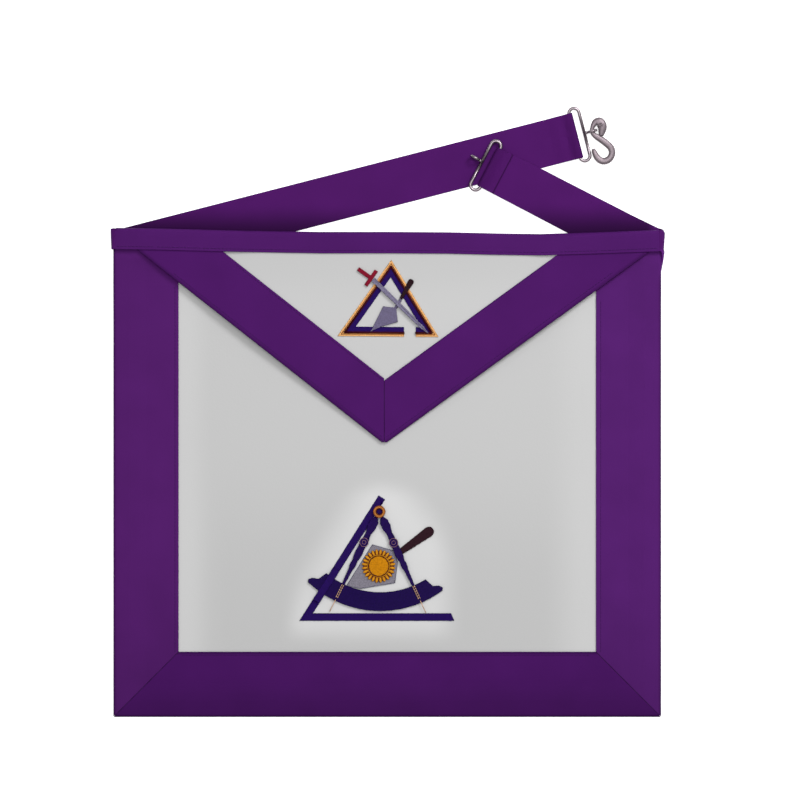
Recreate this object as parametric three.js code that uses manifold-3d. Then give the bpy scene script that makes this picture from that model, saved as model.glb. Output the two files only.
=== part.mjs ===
// A lodge apron lying flat on a table: white leather body with a purple ribbon border, a pointed
// bib, a ribbon belt with wire keepers and a snake hook, and two embroidered emblems.
// Millimetres, +X to the right, +Y towards the waist, +Z up. The origin is the middle of the
// body panel's underside, where it touches the table.

import * as THREE from 'three';
import { mergeVertices } from 'three/addons/utils/BufferGeometryUtils.js';
import Module from 'manifold-3d';

const wasm = await Module();
wasm.setup();

// Leather, ribbon and the gap kept between layers
const body_width = 406;
const body_height = 362.5;
const leather = 1.5;
const bib_leather = 1.2;
const ribbon = 1.0;
const gap = 0.3;

// Ribbon border round the body
const border_width = 48.3;
const hem_return = 12;
const drape_run = 12;

// Belt ribbon: folded in half over the top edge, full width in the two tails
const band_height = 16;
const band_fold = 2.5;
const belt_width = { left: 34.2, right: 32 };
const corner_turn = { left: 3.2, right: 4.2, left_low: 2.4, right_low: 2.6 };

// How late the turned belt's lower edge leaves the band's: 1 is evenly all the way round
const corner_delay = { left: 3, right: 1.7 };
const corner_inset = 1.7;

// The top edge sags a little between the corners: shares of the body's width and of the sag
const top_sag = 4.6;
const top_edge = [
  { across: 0.0, drop: 0.0 },
  { across: 0.08, drop: 0.1 },
  { across: 0.22, drop: 0.42 },
  { across: 0.38, drop: 0.66 },
  { across: 0.5, drop: 0.65 },
  { across: 0.61, drop: 0.71 },
  { across: 0.7, drop: 0.9 },
  { across: 0.78, drop: 1.0 },
  { across: 0.89, drop: 0.7 },
  { across: 1.0, drop: 0.33 },
];

// Pointed bib: its tip, the rise of each slanting edge, and its ribbon
const tip_x = -2.2;
const tip_y = 20.9;
const rise_left = 0.787;
const rise_right = 0.726;
const bib_border = 38.3;
const bib_level_y = 98;
const bib_rest_y = 30;
const bib_inset = 3.4;

// Straps: slope of each tail, the middle of its folded end, and how much wider the right tail
// grows on its upper edge, by the distance from that end
const left_slope = 14.4;
const left_end = new THREE.Vector2(141.2, 250.1);
const right_slope = 27.6;
const right_end = new THREE.Vector2(74.1, 226.8);
const right_widening = [
  { from_end: 0, wider: 0 },
  { from_end: 14, wider: 0.2 },
  { from_end: 39, wider: 1.2 },
  { from_end: 61, wider: 1.4 },
  { from_end: 130, wider: 1.9 },
  { from_end: 260, wider: 2.4 },
];
const hem_length = 12.8;
const back_widening = 2.7;
const crossing_start = 39;
const crossing_run = 22;

// Wire keepers, each with a soldered eye standing on edge
const wire = 2.5;
const keeper_length = 42.3;
const keeper_bars = 7.6;
const butt_gap = 0.4;
const eye_wire = 2.0;
const eye_radius = 3.1;
const eye_reach = 5.8;
const eye_rise = 1.8;
const eye_keeper_shift = 1.3;

// Embroidery: one layer of thread
const thread = 0.6;

const PURPLE = { color: 0x56246c, roughness: 0.7, metalness: 0 };
const WHITE = { color: 0xd8d8d6, roughness: 0.75, metalness: 0 };
const NICKEL = { color: 0xc4bcc0, roughness: 0.28, metalness: 1 };
const VIOLET = { color: 0x2a1556, roughness: 0.6, metalness: 0 };
const GOLD = { color: 0xd79a12, roughness: 0.5, metalness: 0 };
const AMBER = { color: 0xe0a55c, roughness: 0.5, metalness: 0 };
const SILVER = { color: 0x9796aa, roughness: 0.5, metalness: 0 };
const BROWN = { color: 0x352026, roughness: 0.6, metalness: 0 };
const RED = { color: 0x82192d, roughness: 0.6, metalness: 0 };

const apron = new THREE.Group();

// Heights of the layers, one on another
const layer = ribbon + gap;
const half_width = body_width / 2;
const half_height = body_height / 2;
const hem_clear = hem_return + 1;
const drape_end = hem_clear + drape_run;
const strap_low_y = half_height - 42;
const strap_flat_y = strap_low_y - 26;
const band_low_y = half_height - band_height - top_sag - 0.5;
const band_flat_y = band_low_y - drape_run;
const bib_high = 2 * layer + leather + layer + gap;
const bib_low = leather + gap;

function ramp(value, from, to) {
  return THREE.MathUtils.clamp((value - from) / (to - from), 0, 1);
}

function table(rows, key, column, at) {
  const next = Math.max(1, rows.findIndex((row) => row[key] >= at));
  const a = rows[next - 1];
  const b = rows[next];
  return THREE.MathUtils.lerp(a[column], b[column], ramp(at, a[key], b[key]));
}

function topY(x) {
  const across = THREE.MathUtils.clamp(x / body_width + 0.5, 0, 1);
  return half_height - top_sag * table(top_edge, 'across', 'drop', across);
}

// How high the leather's underside lies: on the table, over a hem, over the strap and band
function underside(edge_distance, y) {
  const hem = 1 - ramp(edge_distance, hem_clear, drape_end);
  const strap = ramp(y, strap_flat_y, strap_low_y);
  const band = ramp(y, band_flat_y, band_low_y);
  return layer * (strap + 1 - (1 - hem) * (1 - band));
}

function bibUnderside(y) {
  return THREE.MathUtils.lerp(bib_low, bib_high, ramp(y, bib_rest_y, bib_level_y));
}

// Closed solids from rings of points. A four-cornered face is split along its lower diagonal,
// so two layers that follow the same heights never cross.
function face(triangles, a, b, c, d) {
  if (a.z + c.z <= b.z + d.z + 1e-9) {
    triangles.push(a, b, c, a, c, d);
  } else {
    triangles.push(a, b, d, b, c, d);
  }
}

function solid(triangles) {
  let volume = 0;
  for (let i = 0; i < triangles.length; i += 3) {
    const [a, b, c] = triangles.slice(i, i + 3);
    volume += a.dot(b.clone().cross(c));
  }
  const positions = [];
  for (let i = 0; i < triangles.length; i += 3) {
    const [a, b, c] = triangles.slice(i, i + 3);
    const order = volume > 0 ? [a, b, c] : [a, c, b];
    order.forEach((p) => positions.push(p.x, p.y, p.z));
  }
  const geometry = new THREE.BufferGeometry();
  geometry.setAttribute('position', new THREE.Float32BufferAttribute(positions, 3));
  return toManifold(geometry);
}

function loft(rings, outline) {
  const triangles = [];
  const count = rings[0].length;
  for (let i = 0; i + 1 < rings.length; i += 1) {
    for (let j = 0; j < count; j += 1) {
      const k = (j + 1) % count;
      face(triangles, rings[i][j], rings[i][k], rings[i + 1][k], rings[i + 1][j]);
    }
  }
  const last = rings[rings.length - 1];
  THREE.ShapeUtils.triangulateShape(outline, []).forEach(([a, b, c]) => {
    const first = rings[0];
    const forward = THREE.ShapeUtils.isClockWise(outline) ? [a, b, c] : [a, c, b];
    forward.forEach((n) => triangles.push(first[n]));
    forward.reverse().forEach((n) => triangles.push(last[n]));
  });
  return solid(triangles);
}

// A leather sheet over a grid of points on its underside
function sheet(grid, thickness) {
  const up = new THREE.Vector3(0, 0, thickness);
  const top = grid.map((row) => row.map((p) => p.clone().add(up)));
  const triangles = [];
  const rows = grid.length - 1;
  const columns = grid[0].length - 1;
  for (let i = 0; i < rows; i += 1) {
    for (let j = 0; j < columns; j += 1) {
      face(triangles, top[i][j], top[i][j + 1], top[i + 1][j + 1], top[i + 1][j]);
      const lower = [grid[i][j], grid[i][j + 1], grid[i + 1][j + 1], grid[i + 1][j]];
      const flipped = [];
      face(flipped, ...lower);
      for (let n = 0; n < flipped.length; n += 3) {
        triangles.push(flipped[n], flipped[n + 2], flipped[n + 1]);
      }
    }
  }
  const rim = (a, b) => triangles.push(grid[a[0]][a[1]], grid[b[0]][b[1]], top[b[0]][b[1]],
    grid[a[0]][a[1]], top[b[0]][b[1]], top[a[0]][a[1]]);
  for (let j = 0; j < columns; j += 1) {
    rim([0, j], [0, j + 1]);
    rim([rows, j + 1], [rows, j]);
  }
  for (let i = 0; i < rows; i += 1) {
    rim([i, columns], [i + 1, columns]);
    rim([i + 1, 0], [i, 0]);
  }
  return solid(triangles);
}

// A body ready for joining and cutting, its shared vertices merged
function toManifold(geometry) {
  const bare = geometry.clone();
  bare.deleteAttribute('normal');
  bare.deleteAttribute('uv');
  const merged = mergeVertices(bare, 1e-4);
  const triangles = [];
  const index = merged.index.array;
  for (let i = 0; i < index.length; i += 3) {
    const [a, b, c] = [index[i], index[i + 1], index[i + 2]];
    if (a !== b && b !== c && a !== c) {
      triangles.push(a, b, c);
    }
  }
  return new wasm.Manifold(new wasm.Mesh({
    numProp: 3,
    vertProperties: new Float32Array(merged.attributes.position.array),
    triVerts: new Uint32Array(triangles),
  }));
}

function join(bodies) {
  return bodies.reduce((all, body) => all.add(body));
}

function add(name, body, look) {
  const shape = body.getMesh();
  const geometry = new THREE.BufferGeometry();
  geometry.setAttribute('position', new THREE.Float32BufferAttribute(shape.vertProperties, 3));
  geometry.setIndex(new THREE.BufferAttribute(shape.triVerts, 1));
  geometry.computeVertexNormals();
  const mesh = new THREE.Mesh(geometry, new THREE.MeshStandardMaterial(look));
  mesh.name = name;
  apron.add(mesh);
}

// Body panel: one piece of white leather, its edges inside the ribbon's fold
const fold_radius = ribbon + gap + leather / 2;

function bodyPanel() {
  const edge_columns = [fold_radius, hem_clear, drape_end];
  const inner = top_edge.slice(2, -2).map((row) => (row.across - 0.5) * body_width);
  const columns = [
    ...edge_columns.map((d) => d - half_width),
    ...inner,
    ...edge_columns.map((d) => half_width - d).reverse(),
  ];
  const rows = [
    ...edge_columns.map((d) => d - half_height),
    strap_flat_y, strap_low_y, band_flat_y, band_low_y, half_height,
  ];
  const grid = rows.map((row) => columns.map((x) => {
    const y = row === half_height ? topY(x) - band_fold : row;
    const edge = Math.min(half_width - Math.abs(x), y + half_height);
    return new THREE.Vector3(x, y, underside(edge, y));
  }));
  return sheet(grid, leather);
}

// Border ribbon: face layer, round fold at the panel's edge, and a short return behind
function borderProfile(width, heightAt) {
  const steps = [1, 2, 3];
  const middle = heightAt(0) + leather / 2;
  const arc = (radius, turn) => steps.map((n) => {
    const angle = (turn > 0 ? n : 4 - n) * Math.PI / 4;
    return { d: fold_radius - radius * Math.sin(angle), z: middle + radius * Math.cos(angle) };
  });
  const across = [width, drape_end, hem_clear, fold_radius];
  const face_low = (d) => heightAt(d) + leather + gap;
  const back_high = (d) => heightAt(d) - gap;
  return [
    ...across.map((d) => ({ d, z: face_low(d) + ribbon, front: true })),
    ...arc(fold_radius, 1),
    { d: fold_radius, z: back_high(0) - ribbon },
    { d: hem_return, z: back_high(0) - ribbon },
    { d: hem_return, z: back_high(0) },
    { d: fold_radius, z: back_high(0) },
    ...arc(fold_radius - ribbon, -1),
    ...across.reverse().map((d) => ({ d, z: face_low(d), front: true })),
  ];
}

const mitre_gap = gap / Math.SQRT2;

function sideBorder(side) {
  const front_end = half_height - band_fold - top_sag;
  const outer = side * half_width;
  const back_end = topY(outer - side * hem_return) - band_height - gap;
  const rows = [
    -half_height + border_width + drape_run,
    strap_flat_y, strap_low_y, band_flat_y, band_low_y,
  ];
  const place = (point, y) => new THREE.Vector3(outer - side * point.d, y, point.z);
  const corner = borderProfile(border_width, (d) => underside(d, 0));
  const mitre = corner.map((p) => place(p, p.d - half_height + mitre_gap));
  const straight = rows.map((y) => borderProfile(border_width, (d) => underside(d, y))
    .map((p) => place(p, y)));
  const end = borderProfile(border_width, (d) => underside(d, half_height))
    .map((p) => place(p, p.front ? front_end : back_end));
  const outline = corner.map((p) => new THREE.Vector2(p.d, p.z));
  return loft([mitre, ...straight, end], outline);
}

function bottomBorder() {
  const profile = borderProfile(border_width, (d) => underside(d, 0));
  const ends = [-1, 1].map((side) => profile.map((p) => new THREE.Vector3(
    side * (half_width - p.d - mitre_gap), p.d - half_height, p.z,
  )));
  return loft(ends, profile.map((p) => new THREE.Vector2(p.d, p.z)));
}

// Bib: its left and right edges as lines of y, moved in by a distance from the edge
const run_left = 1 / rise_left;
const run_right = 1 / rise_right;
const skew_left = Math.hypot(1, run_left);
const skew_right = Math.hypot(1, run_right);

function bibLeft(y, inset) {
  return tip_x - (y - tip_y) * run_left + inset * skew_left;
}

function bibRight(y, inset) {
  return tip_x + (y - tip_y) * run_right - inset * skew_right;
}

function bibPanel() {
  const inset = ribbon + gap;
  const limit = half_width - bib_inset;
  const point_y = tip_y + inset * (skew_left + skew_right) / (run_left + run_right);
  const rows = [point_y, bib_rest_y, bib_level_y, band_low_y, half_height];
  const across = top_edge.map((row) => row.across);
  const grid = rows.map((row) => across.map((share) => {
    const left = Math.max(bibLeft(row, inset), -limit);
    const right = Math.min(bibRight(row, inset), limit);
    const x = THREE.MathUtils.lerp(left, right, share);
    const y = row === half_height ? topY(x) - band_fold : row;
    return new THREE.Vector3(x, y, bibUnderside(y));
  }));
  return sheet(grid, bib_leather);
}

// Bib ribbon: face layer and a lip down over the leather's edge, mitred at the tip
function bibBorder(side) {
  const edge = side < 0 ? bibLeft : bibRight;
  const skew = side < 0 ? skew_left : skew_right;
  const run = side < 0 ? run_left : run_right;
  const seam = tip_x + side * gap / 2;
  const reach = half_width - ribbon - side * tip_x;
  const end_y = Math.min(half_height - top_sag - band_fold, tip_y + reach / run);
  const start_y = tip_y + (1.1 * ribbon * skew + gap / 2) / run;
  const mitre_y = tip_y + (bib_border * skew + gap / 2) / run;
  const rise = bib_leather + gap;
  const soft = 0.4 * ribbon;
  const profile = [
    { d: bib_border, z: rise + ribbon },
    { d: soft, z: rise + ribbon },
    { d: 0, z: rise + ribbon - soft },
    { d: 0, z: 0 },
    { d: ribbon, z: 0 },
    { d: ribbon, z: rise },
    { d: bib_border, z: rise },
  ];
  const rows = [start_y, bib_rest_y, mitre_y, bib_level_y, band_low_y, end_y];
  const rings = rows.map((y) => profile.map((p) => {
    const x = edge(y, p.d);
    const inside = side < 0 ? Math.min(x, seam) : Math.max(x, seam);
    return new THREE.Vector3(inside, y, bibUnderside(y) + p.z);
  }));
  return loft(rings, profile.map((p) => new THREE.Vector2(p.d, p.z)));
}

// Waistband: belt ribbon folded over the top edge, higher where the bib's ribbon lies under it
const band_end = half_width - corner_inset - gap;
const band_back = layer;
const bib_top = bib_high + bib_leather + gap;

function bandLift(x) {
  const ease = 20;
  const left = bibLeft(band_low_y, bib_border) + 2;
  const right = bibRight(band_low_y, bib_border) - 2;
  return layer * Math.max(1 - ramp(x, left, left + ease), ramp(x, right - ease, right));
}

function waistband() {
  const ease = 20;
  const left = bibLeft(band_low_y, bib_border) + 2;
  const right = bibRight(band_low_y, bib_border) - 2;
  const columns = [
    -band_end, left, left + ease, right - ease, right, band_end,
    ...top_edge.slice(1, -1).map((row) => (row.across - 0.5) * body_width),
  ].sort((a, b) => a - b);
  const arc = (x, depth, trim, order) => order.map((n) => {
    const low = band_back + trim;
    const high = bib_top + bandLift(x) + ribbon - trim;
    const angle = n * Math.PI / 4;
    return {
      y: topY(x) - band_fold + depth * Math.sin(angle),
      z: (low + high) / 2 + (high - low) / 2 * Math.cos(angle),
    };
  });
  const section = (x) => [
    { y: topY(x) - band_height, z: bib_top + bandLift(x) + ribbon },
    ...arc(x, band_fold, 0, [0, 1, 2, 3, 4]),
    { y: topY(x) - band_height, z: band_back },
    { y: topY(x) - band_height, z: band_back + ribbon },
    ...arc(x, band_fold - ribbon, ribbon, [4, 3, 2, 1, 0]),
    { y: topY(x) - band_height, z: bib_top + bandLift(x) },
  ];
  const rings = columns.map((x) => section(x).map((p) => new THREE.Vector3(x, p.y, p.z)));
  return loft(rings, section(band_end).map((p) => new THREE.Vector2(p.y, p.z)));
}

// Straps: the belt turns behind the corner, lies on the table and ends round a keeper's bar
const bar_clear = wire / 2 + gap + ribbon / 2;
const bar_back = bar_clear + ribbon / 2;

function strapAxis(side) {
  const slope = THREE.MathUtils.degToRad(side < 0 ? left_slope : right_slope);
  const end = side < 0 ? left_end : right_end;
  const along = new THREE.Vector2(-side * Math.cos(slope), Math.sin(slope));
  const level = side < 0 ? 0 : layer;
  const width = side < 0 ? belt_width.left : belt_width.right;
  return { slope, end, along, level, width };
}

// Rows of the ribbon's middle: distance s from the folded end (negative before it), height z,
// and the tilt of the ribbon's upper face
function strapEnd(side) {
  const over = side > 0;
  const { level } = strapAxis(side);
  const low = level + ribbon / 2;
  const bar = barHeight(side);
  const hem_z = over ? low + layer : low;
  const run_z = over ? low : low + layer;
  const loop = [0, 1, 2, 3, 4, 5, 6].map((n) => {
    const angle = Math.PI / 2 - n * Math.PI / 6;
    const flip = over ? -1 : 1;
    return {
      s: -bar_back + bar_clear * Math.cos(angle),
      z: bar + flip * bar_clear * Math.sin(angle),
      tilt: flip * (Math.PI / 2 - angle),
    };
  });
  const far = -hem_length;
  const near = -bar_back - 5.5;
  const slack = -bar_back - 2.6;
  const shoulder = over ? hem_z : run_z;
  const lifted = bar + bar_clear;
  const rise = [
    { s: near, z: shoulder, tilt: 0 },
    { s: slack, z: THREE.MathUtils.lerp(shoulder, lifted, 0.62), tilt: 0 },
  ];
  if (over) {
    const back = rise.reverse().map((row) => ({ ...row, tilt: -Math.PI }));
    return [...loop, ...back, { s: far, z: hem_z, tilt: -Math.PI }];
  }
  const entry = [
    { s: far - 7, z: low, tilt: 0 },
    { s: far - 0.6, z: run_z, tilt: 0 },
  ];
  return [...entry, ...rise, ...loop, { s: far, z: hem_z, tilt: Math.PI }];
}

function barHeight(side) {
  const { level } = strapAxis(side);
  return level + ribbon / 2 + bar_clear;
}

function strap(side) {
  const { slope, end, along, level, width } = strapAxis(side);
  const across = new THREE.Vector2(-along.y, along.x).multiplyScalar(-side * width / 2);
  const half = ribbon / 2;
  const band_z = bib_top + layer + half;
  const start_x = side * (half_width - corner_inset);
  const middle_y = (x) => end.y + (end.x - x) * side * Math.tan(slope);
  const spread = width / 2 / Math.cos(slope);
  const front = { upper: topY(start_x) - 0.4, lower: topY(start_x) - band_height };
  const back = {
    upper: middle_y(start_x) + spread + (side < 0 ? 0 : back_widening),
    lower: middle_y(start_x) - spread,
  };
  const rings = [];
  const turn_rise = (band_z - half) / 2;
  const bulge = side < 0 ? corner_turn.left : corner_turn.right;
  const delay = side < 0 ? corner_delay.left : corner_delay.right;
  const low_bulge = side < 0 ? corner_turn.left_low : corner_turn.right_low;
  for (let n = 0; n <= 6; n += 1) {
    const angle = n * Math.PI / 6;
    const share = (1 - Math.cos(angle)) / 2;
    const z = half + turn_rise * (1 + Math.cos(angle));
    const turned = (depth, y, face_side) => {
      const out = new THREE.Vector2(side * Math.sin(angle) / depth, Math.cos(angle) / turn_rise);
      out.normalize().multiplyScalar(half * face_side);
      return new THREE.Vector3(start_x + side * depth * Math.sin(angle) + out.x, y, z + out.y);
    };
    const upper = THREE.MathUtils.lerp(front.upper, back.upper, share);
    const lower = THREE.MathUtils.lerp(front.lower, back.lower, share ** delay);
    rings.push([
      turned(bulge, upper, 1), turned(bulge, upper, -1),
      turned(low_bulge, lower, -1), turned(low_bulge, lower, 1),
    ]);
  }
  const widening = (s) => (side < 0 ? 0 : table(right_widening, 'from_end', 'wider', Math.max(0, -s)));
  const place = (row) => {
    const centre = end.clone().addScaledVector(along, row.s);
    const upper_edge = 1 + 2 * widening(row.s) / width;
    const lean = along.clone().multiplyScalar(Math.sin(row.tilt) * half);
    const lift = Math.cos(row.tilt) * half;
    const corner = (edge, face_side) => new THREE.Vector3(
      centre.x + edge * across.x + face_side * lean.x,
      centre.y + edge * across.y + face_side * lean.y,
      row.z + face_side * lift,
    );
    return [
      corner(upper_edge, -1), corner(upper_edge, 1), corner(-1, 1), corner(-1, -1),
    ];
  };
  const flat = [];
  const clear_length = Math.abs(start_x - end.x) / Math.cos(slope) - width;
  flat.push({ s: -clear_length, z: half, tilt: 0 });
  if (side > 0) {
    flat.push({ s: -crossing_start - crossing_run, z: half, tilt: 0 });
    flat.push({ s: -crossing_start, z: level + half, tilt: 0 });
  }
  [...flat, ...strapEnd(side)].forEach((row) => rings.push(place(row)));
  const square_end = [[1, 1], [1, -1], [-1, -1], [-1, 1]].map(([x, y]) => new THREE.Vector2(x, y));
  return loft(rings, square_end);
}

// Keeper: wire bent to an oblong loop that closes at the middle of one bar, with a soldered eye
function keeper(side) {
  const { end, along } = strapAxis(side);
  const across = new THREE.Vector2(-along.y, along.x).multiplyScalar(-side);
  const z = barHeight(side);
  const at = (s, t) => {
    const p = end.clone().addScaledVector(along, s).addScaledVector(across, t);
    return new THREE.Vector3(p.x, p.y, z);
  };
  const radius = keeper_bars / 2;
  const straight = (keeper_length - wire) / 2 - radius;
  const hidden = -bar_back;
  const free = hidden + keeper_bars;
  const middle = (hidden + free) / 2;
  const bends = (sign) => [1, 2, 3, 4, 5].map((n) => {
    const angle = n * Math.PI / 6;
    const s = middle + sign * radius * Math.cos(angle);
    return at(s, sign * (straight + radius * Math.sin(angle)));
  });
  const corners = [
    at(free, butt_gap / 2), at(free, straight),
    ...bends(1),
    at(hidden, straight), at(hidden, -straight),
    ...bends(-1),
    at(free, -straight), at(free, -butt_gap / 2),
  ];
  const loop = rod(corners, wire / 2, 8);
  const shift = side < 0 ? 0 : eye_keeper_shift;
  const centre = at(free + eye_reach, shift);
  centre.z += eye_rise;
  const eye = new THREE.TorusGeometry(eye_radius, eye_wire / 2, 8, 20);
  eye.rotateX(Math.PI / 2);
  eye.rotateZ(Math.atan2(along.y, along.x));
  eye.translate(centre.x, centre.y, centre.z);
  const root = at(free, shift);
  const ring_side = at(free + eye_reach - eye_radius + 0.3, shift);
  ring_side.z += eye_rise - 0.4;
  const neck = rod([root, ring_side], eye_wire / 2, 8);
  return join([loop, toManifold(eye), neck]);
}

// Round rod through corner points, mitred at each
function rod(points, radius, sides) {
  const shape = new THREE.Shape();
  shape.absarc(0, 0, radius, 0, 2 * Math.PI);
  const section = shape.getPoints(sides / 2).slice(0, -1);
  const up = new THREE.Vector3(0, 0, 1);
  const rings = points.map((point, i) => {
    const before = points[Math.max(0, i - 1)];
    const after = points[Math.min(points.length - 1, i + 1)];
    const into = point.clone().sub(before).normalize();
    const out = after.clone().sub(point).normalize();
    const tangent = into.clone().add(out).normalize();
    const aside = tangent.clone().cross(up).normalize();
    const lift = aside.clone().cross(tangent);
    return section.map((p) => point.clone().addScaledVector(aside, p.x).addScaledVector(lift, p.y));
  });
  return loft(rings, section);
}

// Snake hook: tail, open lower bend, ribbed body, round coil through the eye, and flat head.
// Places are millimetres from the eye's outer wire, widths across and thicknesses.
const snake_tail = [
  { x: -1.9, y: -13.6, z: 1.9, wide: 2.2, thick: 2.0 },
  { x: -1.5, y: -15.2, z: 1.9, wide: 3.5, thick: 2.9 },
  { x: -0.5, y: -17.6, z: 1.9, wide: 4.4, thick: 3.2 },
  { x: 1.0, y: -20.2, z: 1.9, wide: 5.0, thick: 3.2 },
  { x: 3.3, y: -22.2, z: 1.9, wide: 5.3, thick: 3.2 },
  { x: 6.2, y: -22.8, z: 1.9, wide: 5.4, thick: 3.2 },
  { x: 9.2, y: -21.7, z: 1.9, wide: 5.4, thick: 3.2 },
  { x: 11.3, y: -19.2, z: 1.9, wide: 5.3, thick: 3.2 },
  { x: 12.0, y: -16.0, z: 2.0, wide: 5.2, thick: 3.2 },
  { x: 10.9, y: -12.8, z: 2.3, wide: 5.3, thick: 3.2 },
  { x: 8.3, y: -10.2, z: 2.7, wide: 5.3, thick: 3.2 },
  { x: 4.6, y: -7.4, z: 3.1, wide: 5.2, thick: 3.1 },
  { x: 1.2, y: -5.3, z: 3.6, wide: 4.7, thick: 2.9 },
  { x: -1.6, y: -3.3, z: 3.9, wide: 3.8, thick: 2.6 },
  { x: -3.1, y: -0.7, z: 4.1, wide: 3.2, thick: 2.6 },
  { x: -2.8, y: 1.7, z: 4.1, wide: 3.2, thick: 2.6 },
  { x: -1.8, y: 4.2, z: 4.1, wide: 4.2, thick: 2.8 },
  { x: -0.2, y: 6.2, z: 4.2, wide: 5.2, thick: 3.0 },
];
const snake_head = [
  { x: -1.6, y: 4.4, z: 4.1, wide: 4.2, thick: 2.6 },
  { x: -0.2, y: 6.1, z: 4.2, wide: 5.4, thick: 3.0 },
  { x: 2.2, y: 6.1, z: 4.3, wide: 7.2, thick: 3.4 },
  { x: 3.8, y: 4.6, z: 4.3, wide: 7.5, thick: 3.6 },
  { x: 4.7, y: 2.1, z: 4.2, wide: 6.9, thick: 3.4 },
  { x: 4.4, y: -0.8, z: 3.9, wide: 5.7, thick: 3.0 },
  { x: 3.7, y: -4.2, z: 3.5, wide: 3.5, thick: 2.4 },
];

function sweep(rows, origin) {
  const sides = 10;
  const points = rows.map((row) => new THREE.Vector3(row.x, row.y, row.z).add(origin));
  const turns = Array.from({ length: sides }, (_, n) => 2 * Math.PI * n / sides);
  const rings = points.map((point, i) => {
    const before = points[Math.max(0, i - 1)];
    const after = points[Math.min(points.length - 1, i + 1)];
    const tangent = after.clone().sub(before).setZ(0).normalize();
    const aside = new THREE.Vector3(tangent.y, -tangent.x, 0);
    return turns.map((turn) => point.clone()
      .addScaledVector(aside, rows[i].wide / 2 * Math.cos(turn))
      .add(new THREE.Vector3(0, 0, rows[i].thick / 2 * Math.sin(turn))));
  });
  return loft(rings, turns.map((turn) => new THREE.Vector2(Math.cos(turn), Math.sin(turn))));
}

function snakeHook() {
  const { end, along } = strapAxis(-1);
  const reach = keeper_bars - bar_back + eye_reach + eye_radius;
  const axis = end.clone().addScaledVector(along, reach);
  const origin = new THREE.Vector3(axis.x, axis.y, 0);
  return join([sweep(snake_tail, origin), sweep(snake_head, origin)]);
}

// Embroidery: outlines in millimetres, raised from the leather, each bridging what lies under it
function signedArea(points) {
  return THREE.ShapeUtils.area(points);
}

function grown(points, by) {
  const ring = signedArea(points) > 0 ? points : [...points].reverse();
  return ring.map((point, i) => {
    const before = ring[(i + ring.length - 1) % ring.length];
    const after = ring[(i + 1) % ring.length];
    const into = point.clone().sub(before).normalize();
    const out = after.clone().sub(point).normalize();
    const normal_in = new THREE.Vector2(into.y, -into.x);
    const normal_out = new THREE.Vector2(out.y, -out.x);
    const bisector = normal_in.clone().add(normal_out).normalize();
    const stretch = by / Math.max(0.45, bisector.dot(normal_in));
    return point.clone().addScaledVector(bisector, stretch);
  });
}

function raised(outline, low, high) {
  const shape = new THREE.Shape(outline);
  const block = new THREE.ExtrudeGeometry(shape, { depth: high - low, bevelEnabled: false });
  block.translate(0, 0, low);
  return toManifold(block);
}

function polygon(rows) {
  return rows.map(([x, y]) => new THREE.Vector2(x, y));
}

function disc(x, y, radius, sides = 24) {
  return Array.from({ length: sides }, (_, n) => {
    const angle = 2 * Math.PI * n / sides;
    return new THREE.Vector2(x + radius * Math.cos(angle), y + radius * Math.sin(angle));
  });
}

// A strip along a direction, its half width given at each distance
function strip(start, direction, rows) {
  const along = direction.clone().normalize();
  const aside = new THREE.Vector2(-along.y, along.x);
  const edge = (hand) => rows.map((row) => start.clone()
    .addScaledVector(along, row.s).addScaledVector(aside, hand * row.half));
  return [...edge(-1), ...edge(1).reverse()];
}

// One figure: its parts, each with an outline and a height over the leather
function figure(base, parts, beneath = []) {
  let body = join(parts.map((part) => raised(part.outline, base, base + part.high)));
  beneath.flatMap((list) => list).forEach((part) => {
    const tunnel = raised(grown(part.outline, gap), base - 1, base + part.high + gap);
    body = body.subtract(tunnel);
  });
  return body;
}

const body_base = leather + gap;

// Square: two bars from one corner
const square_corner = new THREE.Vector2(-65.2, -110.0);
const square_base = 115;
const square_leg = 110;
const square_angle = 57.7;
const square_bar = 5.6;
const square_over = { from: 19, to: 47 };

function squareOutline() {
  const angle = THREE.MathUtils.degToRad(square_angle);
  const leg = new THREE.Vector2(Math.cos(angle), Math.sin(angle));
  const in_leg = new THREE.Vector2(Math.sin(angle), -Math.cos(angle));
  const cut = square_bar * 0.45;
  const inner = square_bar / Math.tan(angle / 2);
  return [
    square_corner.clone(),
    square_corner.clone().add(new THREE.Vector2(square_base, 0)),
    square_corner.clone().add(new THREE.Vector2(square_base - cut, square_bar)),
    square_corner.clone().add(new THREE.Vector2(inner, square_bar)),
    square_corner.clone().addScaledVector(leg, square_leg).addScaledVector(in_leg, square_bar),
    square_corner.clone().addScaledVector(leg, square_leg),
  ];
}

// The length of the slanting bar that passes over the quadrant
function squareOver() {
  const angle = THREE.MathUtils.degToRad(square_angle);
  const leg = new THREE.Vector2(Math.cos(angle), Math.sin(angle));
  const in_leg = new THREE.Vector2(Math.sin(angle), -Math.cos(angle));
  const at = (along, across) => (
    square_corner.clone().addScaledVector(leg, along).addScaledVector(in_leg, across));
  return [
    at(square_over.from, 0), at(square_over.from, square_bar),
    at(square_over.to, square_bar), at(square_over.to, 0),
  ];
}

// Quadrant: a broad arc with stepped ends
const quadrant_centre = new THREE.Vector2(-5.2, -25.3);
const quadrant_outer = 77.5;
const quadrant_inner = 63.5;
const quadrant_from = 231;
const quadrant_to = 301.9;
const quadrant_lip = 4.8;

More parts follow.
